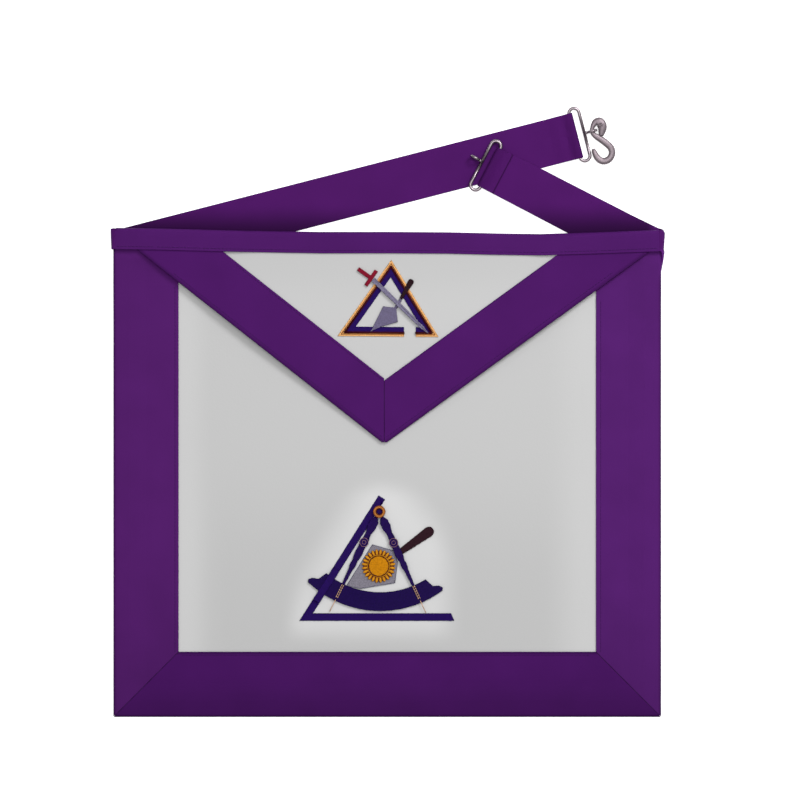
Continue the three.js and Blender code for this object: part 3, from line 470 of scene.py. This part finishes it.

# Waistband and belt: one purple ribbon, 34 mm wide, folded in half over the top edge and carried
# on from both corners as the two tails of the belt. Each tail's end is hemmed round its keeper.
# Painted light and shade in the tones: painted shade along the waistband's top fold, a painted
# shadow of the waistband on each belt tail beside it, painted shade by each keeper's bar, painted
# light on the right tail's turned end under the waistband, and a thin dark line across the right
# tail at its hem.
belt_pieces = [
    {"node": "waistband", "name": "waist_ribbon", "colour": "47175d", "turn": 90,
     "flat": (0.042, 0.4), "butt": 0.201, "reach": 0.00028, "tones": [
         {"steps": [((0, 1), 0.1792, 0.1812)], "tone": 0.8},
     ]},
    {"node": "strap_left", "name": "belt_tail_left", "colour": "47145b", "turn": 104,
     "flat": (0.034, 0.39), "butt": 0.2013, "line_from": -0.2014,
     "line": [(0.12, 0.2027), (0.165, 0.2027), (0.1656, 0.206)], "tones": [
         {"steps": [((0, -1), -0.2, -0.178), ((1, 0), -0.2, -0.192)], "tone": 0.38},
         {"steps": [((0.9686, 0.2487), 0.187, 0.1985)], "tone": 0.85},
     ]},
    {"node": "strap_right", "name": "belt_tail_right", "colour": "47145b", "turn": 62,
     "flat": (0.034, 0.19), "butt": 0.2013, "soft_corner": 0.0048, "line_from": 0.2014,
     "line": [(0.12, 0.2027), (0.1485, 0.2028), (0.157, 0.2045), (0.1645, 0.2057)], "tones": [
         {"steps": [((1, 0), 0.2005, 0.2016), ((0, -1), -0.166, -0.163)], "tone": 1.6},
         {"steps": [((0, -1), -0.202, -0.177), ((-1, 0), -0.2, -0.192)], "tone": 0.34},
         {"steps": [((0.8862, -0.4633), -0.0263, -0.0267)], "tone": 0.92},
         {"steps": [((0.8862, -0.4633), -0.0325, -0.0392)], "tone": 0.8},
         {"steps": [((0.8862, -0.4633), -0.0273, -0.0268),
                    ((0.8862, -0.4633), -0.0258, -0.0263)], "tone": 0.6},
     ]},
]
band_stitch_rise = 0.0021
for row in belt_pieces:
    ribbon = ribbon_piece(row)
    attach(ribbon, "apron")
    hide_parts(row["node"])

band_top = upper_side(["waistband"])
band_low = [
    (-0.2, 0.1652), (-0.17, 0.1648), (-0.114, 0.1633), (-0.049, 0.1622), (0, 0.1623),
    (0.045, 0.162), (0.081, 0.1611), (0.114, 0.1607), (0.158, 0.162), (0.2, 0.1637),
]
bm = bmesh.new()
for (x0, y0), (x1, y1) in zip(band_low, band_low[1:]):
    stitch_row(bm, (x0, y0 + band_stitch_rise), (x1, y1 + band_stitch_rise), band_top)
band_stitches = made("band_stitches", bm, edge_thread)
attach(band_stitches, "apron")

# Keepers: nickel-plated steel wire, 2.5 mm thick, bent to an oblong loop that closes at the middle
# of one bar, where a small wire eye is soldered on, standing on edge.
wire_radius = 0.00125
keeper_bar = 0.0076
keeper_straight = 0.01625
butt_half = 0.0002
eye_radius = 0.0031
eye_wire = 0.001
eye_reach = 0.0058
eye_rise = 0.0018
bar_back = 0.00255
neck_drop = 0.0004
neck_foot = 0.00135
neck_top = 0.0009
neck_sunk = 0.0006
solder_radius = 0.0014
solder_out = 0.0004
keepers = [
    {"node": "hook_keeper", "name": "wire_keeper_hook_end", "side": -1, "slope": 14.4,
     "end": (0.1412, 0.2501), "height": 0.00255, "shift": 0},
    {"node": "eye_keeper", "name": "wire_keeper_eye_end", "side": 1, "slope": 27.6,
     "end": (0.0741, 0.2268), "height": 0.00385, "shift": 0.0013},
]


def nickel_finish(name, code, roughness, scale):
    """Nickel plate: a warm grey mirror, slightly pitted and dulled by handling."""
    finish, tree, place = blank_finish(name)
    pits = add_node(tree, "ShaderNodeTexNoise", {"Vector": place, "Scale": scale, "Detail": 2})
    bump = add_node(tree, "ShaderNodeBump", {"Strength": 0.2, "Distance": 0.0002,
                                             "Height": pits.outputs["Fac"]})
    metal = add_node(tree, "ShaderNodeBsdfPrincipled", {
        "Base Color": linear(code), "Metallic": 1, "Roughness": roughness,
        "Normal": bump.outputs["Normal"],
    })
    add_node(tree, "ShaderNodeOutputMaterial", {"Surface": metal.outputs["BSDF"]})
    return finish


keeper_nickel = nickel_finish("nickel_plate_wire", "8c8288", 0.3, 350)


def wire_ring(bm, centre, radius, thick, sides, steps, standing=False):
    """A closed ring of wire or cord, lying flat or standing on edge."""
    place = Matrix.Translation(centre + Vector((radius, 0, 0)))
    if not standing:
        place = place @ Matrix.Rotation(math.pi / 2, 4, "X")
    ring = bmesh.ops.create_circle(bm, cap_ends=False, segments=sides, radius=thick,
                                   matrix=place)["verts"]
    edges = [e for e in bm.edges if all(v in ring for v in e.verts)]
    bmesh.ops.spin(bm, geom=ring + edges, cent=centre, axis=(0, 1, 0) if standing else (0, 0, 1),
                   angle=2 * math.pi, steps=steps, use_merge=True)


def bent_wire(bm, ring, moves):
    """Draws a ring of wire on through straights and bends; each is an offset or a turn."""
    edges = [e for e in bm.edges if all(v in ring for v in e.verts)]
    for move in moves:
        if "run" in move:
            grown = bmesh.ops.extrude_edge_only(bm, edges=edges)["geom"]
            verts = [g for g in grown if isinstance(g, bmesh.types.BMVert)]
            bmesh.ops.translate(bm, verts=verts, vec=move["run"])
            edges = [g for g in grown if isinstance(g, bmesh.types.BMEdge)
                     and all(v in verts for v in g.verts)]
        else:
            spun = bmesh.ops.spin(bm, geom=edges, cent=move["centre"], axis=move["axis"],
                                  angle=math.radians(move["angle"]), steps=move["steps"])
            edges = [g for g in spun["geom_last"] if isinstance(g, bmesh.types.BMEdge)]


def keeper_mesh(row):
    """The loop from one side of the butt joint round to the other, then the neck and eye."""
    bm = bmesh.new()
    free = keeper_bar - bar_back
    middle = free - keeper_bar / 2
    start = Matrix.Translation((free, butt_half, 0)) @ Matrix.Rotation(math.pi / 2, 4, "X")
    ring = bmesh.ops.create_circle(bm, cap_ends=False, segments=16, radius=wire_radius,
                                   matrix=start)["verts"]
    half = keeper_straight
    bent_wire(bm, ring, [
        {"run": (0, half - butt_half, 0)},
        {"centre": (middle, half, 0), "axis": (0, 0, 1), "angle": 180, "steps": 16},
        {"run": (0, -2 * half, 0)},
        {"centre": (middle, -half, 0), "axis": (0, 0, 1), "angle": 180, "steps": 16},
        {"run": (0, half - butt_half, 0)},
    ])
    bmesh.ops.holes_fill(bm, edges=bm.edges, sides=16)
    wire_ring(bm, Vector((free + eye_reach, row["shift"], eye_rise)), eye_radius, eye_wire, 12, 28,
              standing=True)
    neck = Vector((eye_reach - eye_radius, 0, eye_rise - neck_drop))
    neck_place = (Matrix.Translation(Vector((free, row["shift"], 0)) + neck / 2)
                  @ neck.to_track_quat("Z", "Y").to_matrix().to_4x4())
    bmesh.ops.create_cone(bm, cap_ends=True, segments=12, radius1=neck_foot, radius2=neck_top,
                          depth=neck.length + neck_sunk, matrix=neck_place)
    bmesh.ops.create_uvsphere(bm, u_segments=12, v_segments=8, radius=solder_radius,
                              matrix=Matrix.Translation((free + solder_out, row["shift"], 0)))
    slope = math.radians(row["slope"])
    along = Vector((-row["side"] * math.cos(slope), math.sin(slope), 0))
    across = Vector((-along.y, along.x, 0)) * -row["side"]
    turn = Matrix((along, across, (0, 0, 1))).transposed().to_4x4()
    bm.transform(Matrix.Translation((*row["end"], row["height"])) @ turn)
    return bm


for row in keepers:
    keeper = made(row["name"], keeper_mesh(row), keeper_nickel)
    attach(keeper, row["node"])
    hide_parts(row["node"])

# Snake hook: cast white metal, nickel plated, a snake whose coil closes round the keeper's eye and
# whose open lower bend takes the other eye. Its back is ribbed, and its head is flat.
snake_sides = 20
rib_pitch = 0.0013
rib_depth = 0.1
snake_tail = [
    (-1.9, -13.6, 1.9, 2.2, 2.0), (-1.5, -15.2, 1.9, 3.5, 2.9), (-0.5, -17.6, 1.9, 4.4, 3.2),
    (1.0, -20.2, 1.9, 5.0, 3.2), (3.3, -22.2, 1.9, 5.3, 3.2), (6.2, -22.8, 1.9, 5.4, 3.2),
    (9.2, -21.7, 1.9, 5.4, 3.2), (11.3, -19.2, 1.9, 5.3, 3.2), (12.0, -16.0, 2.0, 5.2, 3.2),
    (10.9, -12.8, 2.3, 5.3, 3.2), (8.3, -10.2, 2.7, 5.3, 3.2), (4.6, -7.4, 3.1, 5.2, 3.1),
    (1.2, -5.3, 3.6, 4.7, 2.9), (-1.6, -3.3, 3.9, 3.8, 2.6), (-3.1, -0.7, 4.1, 3.2, 2.6),
    (-2.8, 1.7, 4.1, 3.2, 2.6), (-1.8, 4.2, 4.1, 4.2, 2.8), (-0.2, 6.2, 4.2, 5.2, 3.0),
]
snake_head = [
    (-1.6, 4.4, 4.1, 4.2, 2.6), (-0.2, 6.1, 4.2, 5.4, 3.0), (2.2, 6.1, 4.3, 7.2, 3.4),
    (3.8, 4.6, 4.3, 7.5, 3.6), (4.7, 2.1, 4.2, 6.9, 3.4), (4.4, -0.8, 3.9, 5.7, 3.0),
    (3.7, -4.2, 3.5, 3.5, 2.4),
]
snake_eye = Vector((3.6, 3.9, 6.0)) * 0.001
snake_eye_rings = [(0.0013, 0.00038), (0.0005, 0.0004)]
snake_nickel = nickel_finish("nickel_plate_cast", "81767c", 0.48, 900)


def smooth_rows(rows, step):
    """The rows of a casting's body with smooth rows between them, a step apart."""
    points = [Vector(row) for row in rows]
    points = [points[0] * 2 - points[1], *points, points[-1] * 2 - points[-2]]
    finer = []
    for a, b, c, d in zip(points, points[1:], points[2:], points[3:]):
        count = max(1, round((c - b).to_3d().length / step))
        for n in range(count):
            t = n / count
            finer.append(0.5 * ((2 * b) + (c - a) * t + (2 * a - 5 * b + 4 * c - d) * t * t
                                + (3 * b - a - 3 * c + d) * t ** 3))
    return [*finer, points[-2]]


def cast_body(bm, rows, ribs):
    """A round-backed casting drawn on ring by ring, each second ring cut in a little."""
    finer = smooth_rows([[value * 0.001 for value in row] for row in rows], rib_pitch / 2)
    ring = bmesh.ops.create_circle(bm, cap_ends=True, segments=snake_sides, radius=1)["verts"]
    before = Matrix.Identity(4)
    edges = [e for e in bm.edges if all(v in ring for v in e.verts)]
    for n, row in enumerate(finer):
        back, on = finer[max(0, n - 1)], finer[min(len(finer) - 1, n + 1)]
        tangent = (on.to_3d() - back.to_3d()) * Vector((1, 1, 0))
        tangent.normalize()
        aside = Vector((tangent.y, -tangent.x, 0))
        size = 1 - rib_depth * (n % 2) * ribs
        columns = (aside * row[3] / 2 * size, Vector((0, 0, row[4] / 2 * size)), tangent)
        place = Matrix.Translation(row.to_3d()) @ Matrix(columns).transposed().to_4x4()
        if n:
            grown = bmesh.ops.extrude_edge_only(bm, edges=edges)["geom"]
            ring = [g for g in grown if isinstance(g, bmesh.types.BMVert)]
            edges = [g for g in grown if isinstance(g, bmesh.types.BMEdge)
                     and all(v in ring for v in g.verts)]
        bmesh.ops.transform(bm, verts=ring, matrix=place @ before.inverted())
        before = place
    bmesh.ops.holes_fill(bm, edges=bm.edges, sides=snake_sides)


bm = bmesh.new()
cast_body(bm, snake_tail, 1)
cast_body(bm, snake_head, 0.5)
for radius, thick in snake_eye_rings:
    wire_ring(bm, snake_eye, radius, thick, 8, 20)
hook_slope = math.radians(keepers[0]["slope"])
hook_reach = keeper_bar - bar_back + eye_reach + eye_radius
hook_axis = Vector((*keepers[0]["end"], 0)) + hook_reach * Vector(
    (math.cos(hook_slope), math.sin(hook_slope), 0))
bm.transform(Matrix.Translation(hook_axis))
snake = made("cast_snake", bm, snake_nickel)
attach(snake, "snake_hook")
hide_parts("snake_hook")

# Lower emblem: satin stitch in violet, silver, brown and gold thread, worked straight into the
# skin. Real threads lie 0.4 mm apart; they are drawn 0.8 mm apart so that they show.
thread_pitch = 0.0008
thread_depth = 0.00022
thread_jag = 0.00022
thread_edge = 0.0003
thread_groove = (0, 0.35, 1, 0.35)
jag_count = 1009
foot_clear = 0.0001
line_near = 0.002
thread_cut_merge = 0.0000001
quadrant_centre = Vector((-0.0052, -0.0253, 0))
quadrant_middle = 0.0705
lower_emblem = [
    {"node": "square", "name": "satin_square", "slot": "violet_thread", "colour": "1e044f"},
    {"node": "quadrant", "name": "satin_quadrant", "slot": "violet_thread", "colour": "170341"},
    {"node": "compasses", "name": "satin_compasses", "slot": "violet_thread",
     "colour": "1b0346"},
    {"node": "compass_pivot", "name": "satin_pivot", "slot": "amber_thread",
     "colour": "a5682e"},
    {"node": "trowel_blade", "name": "satin_blade", "slot": "silver_thread",
     "colour": "797580"},
    {"node": "trowel_handle", "name": "satin_handle", "slot": "brown_thread",
     "colour": "280f19"},
    {"node": "sun_disc", "name": "satin_sun", "slot": "gold_thread", "colour": "b97805"},
    {"node": "sun_rays", "name": "satin_ray_ground", "slot": "gold_thread",
     "colour": "5a2410"},
]
stitch_ways = {
    "square": (1, 0, 0), "compasses": (0, 1, 0), "trowel_blade": (0.8, 0.6, 0),
    "trowel_handle": (0.806, 0.592, 0), "sun_disc": (1, 0, 0), "flap_gold_triangle": (0, 1, 0),
    "flap_blue_triangle": (0, 1, 0), "flap_trowel": (0.6, 0.8, 0),
    "flap_trowel_handle": (0.51, 0.86, 0), "flap_sword_blade": (0.716, -0.698, 0),
    "flap_sword_hilt": (0.82, -0.57, 0),
}
sun_centre = Vector((-0.0064, -0.0694, 0))
compass_head = Vector((-0.0059, -0.029, 0))
stitch_rings = {
    "quadrant": (quadrant_centre, quadrant_middle),
    "compass_pivot": (compass_head, 0.0034),
    "sun_rays": (sun_centre, 0.0105),
}


def thread_finish(name, code):
    """Embroidery thread: rayon twist with a soft gloss, its strands a little uneven in shade."""
    finish, tree, place = blank_finish(name)
    strands = add_node(tree, "ShaderNodeTexNoise", {"Vector": place, "Scale": 900, "Detail": 3})
    share = add_node(tree, "ShaderNodeMapRange", {
        "Value": strands.outputs["Fac"], "From Min": 0.3, "From Max": 0.7, "To Min": 0.8,
        "To Max": 1.2,
    })
    base = add_node(tree, "ShaderNodeRGB").outputs["Color"]
    base.default_value = linear(code)
    thread = add_node(tree, "ShaderNodeBsdfPrincipled", {
        "Base Color": toned(tree, base, share.outputs["Result"]), "Roughness": 0.5,
        "Specular IOR Level": 0.06,
    })
    add_node(tree, "ShaderNodeOutputMaterial", {"Surface": thread.outputs["BSDF"]})
    return finish


def thread_lines(node, bm):
    """Four lines to each thread: a list of planes, and the line number of a place."""
    if node in stitch_rings:
        centre, radius = stitch_rings[node]
        turn = 2 * math.pi / len(thread_groove) / round(2 * math.pi * radius / thread_pitch)
        planes = [(centre, Vector((-math.sin(turn * n), math.cos(turn * n), 0)))
                  for n in range(round(math.pi / turn))]
        return planes, lambda co: math.atan2(co.y - centre.y, co.x - centre.x) / turn
    way = Vector(stitch_ways[node]).normalized()
    spots = [v.co.dot(way) for v in bm.verts]
    start, step = min(spots), thread_pitch / len(thread_groove)
    count = int((max(spots) - start) / step)
    planes = [(way * (start + step * n), way) for n in range(1, count)]
    return planes, lambda co: (co.dot(way) - start) / step


def satin(node):
    """A raised figure laid over with threads: pressed in between them, its rim a bit ragged."""
    bm = copied(node)
    rim = [e for e in bm.edges if e.is_manifold
           and abs(e.link_faces[0].normal.z - e.link_faces[1].normal.z) > 0.9
           and max(f.normal.z for f in e.link_faces) > 0.9]
    bmesh.ops.bevel(bm, geom=rim, offset=thread_edge, affect="EDGES", segments=2, profile=0.5,
                    material=-1)
    upper = [f for f in bm.faces if f.normal.z > 0.99]
    bmesh.ops.inset_region(bm, faces=upper, thickness=thread_edge, use_even_offset=True)
    bmesh.ops.triangulate(bm, faces=bm.faces)
    floor_height = min(v.co.z for v in bm.verts) + foot_clear
    planes, line_at = thread_lines(node, bm)
    for spot, way in planes:
        bmesh.ops.bisect_plane(bm, geom=bm.verts[:] + bm.edges[:] + bm.faces[:],
                               dist=thread_cut_merge, plane_co=spot, plane_no=way)
    bm.normal_update()
    draws = random.Random(node)
    reaches = [draws.uniform(-thread_jag, thread_jag) for _ in range(jag_count)]
    pushes = []
    for vert in bm.verts:
        line = line_at(vert.co)
        if vert.co.z > floor_height and abs(line - round(line)) < line_near:
            sunk = thread_groove[round(line) % len(thread_groove)] * thread_depth
            level = Vector((vert.normal.x, vert.normal.y, 0))
            reach = reaches[round(line / len(thread_groove))]
            pushes.append((vert, level * reach - vert.normal * sunk))
    for vert, push in pushes:
        vert.co += push
    return bm


for row in lower_emblem:
    figure = made(row["name"], satin(row["node"]),
                  thread_finish(f"rayon_thread_{row['name']}", row["colour"]))
    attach(figure, "apron")
    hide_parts(row["node"])

# Sun rays, outlines and compass points: separate threads laid on the satin and held down by tiny
# stitches. Each ray is one plump lazy stitch. Each point is two rows of short pale dashes over
# the quadrant, and then a single thread down to its tip.
leg_length = 0.0604
point_length = 0.0222
ray_count = 24
ray_size = (0.0021, 0.00092, 0.0005)
ray_middle = 0.0104
outline_rings = [
    {"name": "sun_inner_cord", "at": sun_centre, "radius": 0.0077, "thick": 0.0003,
     "colour": "5c150c", "node": "sun_disc"},
    {"name": "sun_middle_cord", "at": sun_centre, "radius": 0.0082, "thick": 0.00028,
     "colour": "c08a20", "node": "sun_rays"},
    {"name": "sun_outer_cord", "at": sun_centre, "radius": 0.0087, "thick": 0.00022,
     "colour": "5c150c", "node": "sun_rays"},
    {"name": "pivot_inner_cord", "at": compass_head, "radius": 0.0024, "thick": 0.0003,
     "colour": "4a1018", "node": "compass_pivot"},
    {"name": "pivot_outer_cord", "at": compass_head, "radius": 0.0043, "thick": 0.00022,
     "colour": "7a3d1c", "node": "compass_pivot"},
]
compass_spread = {"left": (-1, 26.4), "right": (1, 24.7)}
knuckle_share = 0.42


def leg_way(hand):
    """The direction in which a leg of the compasses points."""
    side, spread = compass_spread[hand]
    lean = math.radians(spread)
    return Vector((side * math.sin(lean), -math.cos(lean), 0))


for hand in compass_spread:
    knuckle = compass_head + knuckle_share * leg_length * leg_way(hand)
    for part, radius in (("outer", 0.0032), ("inner", 0.0014)):
        outline_rings.append({"name": f"knuckle_{part}_cord_{hand}", "at": knuckle,
                              "radius": radius, "thick": 0.00017, "colour": "8a6470",
                              "node": "compasses"})
dash_long = 0.0011
dash_pitch = 0.0018
dash_radius = 0.0003
dash_aside = 0.00062
paired_share = 0.56
point_clear = 0.0004
outline_radius = 0.00018
blade_corners = [(-0.0111, -0.0535), (-0.0302, -0.084), (-0.0201, -0.0861), (0.0057, -0.0819),
                 (0.0077, -0.0665), (0.0047, -0.058), (-0.0111, -0.0535)]

bm = bmesh.new()
ray_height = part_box("sun_rays")[1].z
for n in range(ray_count):
    turn = Matrix.Rotation(2 * math.pi * (n + 0.5) / ray_count, 4, "Z")
    middle = Matrix.Translation((ray_middle, 0, 0)) @ Matrix.Diagonal((*ray_size, 1))
    place = Matrix.Translation(sun_centre + Vector((0, 0, ray_height))) @ turn @ middle
    bmesh.ops.create_uvsphere(bm, u_segments=12, v_segments=8, radius=1, matrix=place)
rays = made("sun_ray_stitches", bm, thread_finish("rayon_thread_rays", "c08218"))
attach(rays, "apron")
for row in outline_rings:
    bm = bmesh.new()
    lift = Vector((0, 0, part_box(row["node"])[1].z))
    wire_ring(bm, row["at"] + lift, row["radius"], row["thick"], 8, 36)
    cord = made(row["name"], bm, thread_finish(f"rayon_thread_{row['name']}", row["colour"]))
    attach(cord, "apron")
blade_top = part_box("trowel_blade")[1].z
bm = bmesh.new()
cord_run(bm, [(x, y, blade_top) for x, y in blade_corners], outline_radius)
blade_outline = made("blade_outline", bm, thread_finish("rayon_thread_outline", "55556c"))
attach(blade_outline, "apron")
point_thread = thread_finish("rayon_thread_points", "c09a7c")
for hand in compass_spread:
    node = f"compass_point_{hand}"
    way = leg_way(hand)
    height = Vector((0, 0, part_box(node)[1].z - dash_radius))
    bm = bmesh.new()
    aside = Vector((-way.y, way.x, 0)) * dash_aside
    paired_long = paired_share * point_length
    for n in range(int(paired_long / dash_pitch)):
        start = compass_head + way * (leg_length + point_clear + n * dash_pitch) + height
        for flank in (-1, 1):
            cord_run(bm, [start + aside * flank, start + aside * flank + way * dash_long],
                     dash_radius, 8)
    cord_run(bm, [compass_head + way * (leg_length + s) + height
                  for s in (paired_long, point_length)], dash_radius, 8)
    points = made(f"couched_point_{hand}", bm, point_thread)
    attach(points, "apron")
    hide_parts(node)

# Bib emblem: the same satin stitch, smaller: a gold triangle round a violet one, with a sword
# and a little trowel worked over them.
bib_emblem = [
    {"node": "flap_gold_triangle", "name": "satin_gold_triangle", "slot": "amber_thread",
     "colour": "dba66a"},
    {"node": "flap_blue_triangle", "name": "satin_violet_triangle", "slot": "violet_thread",
     "colour": "1f0452"},
    {"node": "flap_trowel", "name": "satin_small_trowel", "slot": "silver_thread",
     "colour": "645d78"},
    {"node": "flap_trowel_handle", "name": "satin_small_handle", "slot": "brown_thread",
     "colour": "220b14"},
    {"node": "flap_sword_blade", "name": "satin_sword", "slot": "silver_thread",
     "colour": "756f88"},
    {"node": "flap_sword_hilt", "name": "satin_hilt", "slot": "red_thread", "colour": "770e25"},
]
triangle_corners = [(0.003, 0.1574), (-0.0369, 0.101), (0.038, 0.1004)]
triangle_gap = (0.0124, 0.0211)
triangle_cords = [
    {"name": "triangle_red_cord", "inset": 0.0028, "radius": 0.0009, "colour": "3a0914"},
    {"name": "triangle_brown_cord", "inset": 0.0015, "radius": 0.00035, "colour": "a0602c"},
]


def inset_corner(corners, n, inset):
    """A triangle's corner moved in so that both its sides move in by the inset."""
    here, before, after = (Vector(corners[k % 3]) for k in (n, n - 1, n + 1))
    a, b = (before - here).normalized(), (after - here).normalized()
    return here + (a + b).normalized() * inset / math.sin(a.angle(b) / 2)


for row in bib_emblem:
    figure = made(row["name"], satin(row["node"]),
                  thread_finish(f"rayon_thread_{row['name']}", row["colour"]))
    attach(figure, "apron")
    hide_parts(row["node"])

for row in triangle_cords:
    apex, left, right = (inset_corner(triangle_corners, n, row["inset"]) for n in range(3))
    ends = [left.lerp(right, (x - left.x) / (right.x - left.x)) for x in triangle_gap]
    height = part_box("flap_gold_triangle")[1].z
    bm = bmesh.new()
    cord_run(bm, [(*spot, height) for spot in (ends[0], left, apex, right, ends[1])],
             row["radius"])
    cord = made(row["name"], bm, thread_finish(f"rayon_thread_{row['name']}", row["colour"]))
    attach(cord, "apron")

# Table and light: a plain white light table, one large soft light overhead, a smaller one beyond
# the right top corner and an even white room. The camera is high above the middle of the picture
# and looks straight down.
table_size = 6
table_drop = 0.0002
table_white = "fafafa"
table_glow = 0.6
view_width = 0.5934
view_centre = (0.00945, 0.0537)
camera_height = 3.2
sensor_width = 36
bm = bmesh.new()
bmesh.ops.create_grid(bm, x_segments=1, y_segments=1, size=table_size / 2)
bm.transform(Matrix.Translation((0, 0, -table_drop)))
table_finish, tree, place = blank_finish("white_laminate")
top = add_node(tree, "ShaderNodeBsdfPrincipled", {
    "Base Color": linear(table_white), "Roughness": 0.9, "Specular IOR Level": 0.1,
    "Emission Color": linear(table_white), "Emission Strength": table_glow,
})
add_node(tree, "ShaderNodeOutputMaterial", {"Surface": top.outputs["BSDF"]})
table = made("table_top", bm, table_finish, smooth=False)

world = bpy.data.worlds.new("white_room")
bpy.context.scene.world = world
world.use_nodes = True
room = world.node_tree
sky = add_node(room, "ShaderNodeTexCoord").outputs["Generated"]
rise = add_node(room, "ShaderNodeSeparateXYZ", {"Vector": sky}).outputs["Z"]
glow = add_node(room, "ShaderNodeMapRange", {
    "Value": rise, "From Min": 0.1, "From Max": 0.7, "To Min": 0.145, "To Max": 0.605,
}).outputs["Result"]
room.links.new(glow, room.nodes["Background"].inputs["Strength"])
room.nodes["Background"].inputs["Color"].default_value = (1, 1, 1, 1)
lamps = [
    {"name": "soft_top", "at": (0, 0.3, 2.6), "size": 1.8, "watts": 27.5},
    {"name": "soft_key", "at": (0.9, 1.2, 1.5), "size": 0.7, "watts": 21},
]
for row in lamps:
    lamp = bpy.data.lights.new(row["name"], "AREA")
    lamp.shape = "SQUARE"
    lamp.size = row["size"]
    lamp.energy = row["watts"]
    holder = bpy.data.objects.new(row["name"], lamp)
    holder.location = row["at"]
    holder.rotation_euler = (-Vector(row["at"])).to_track_quat("-Z", "Y").to_euler()
    bpy.context.scene.collection.objects.link(holder)

lens = bpy.data.cameras.new("camera")
lens.sensor_width = sensor_width
lens.lens = sensor_width * camera_height / view_width
lens.clip_end = 20
camera = bpy.data.objects.new("camera", lens)
camera.location = (*view_centre, camera_height)
bpy.context.scene.collection.objects.link(camera)
bpy.context.scene.camera = camera
bpy.context.scene.view_settings.view_transform = "Standard"
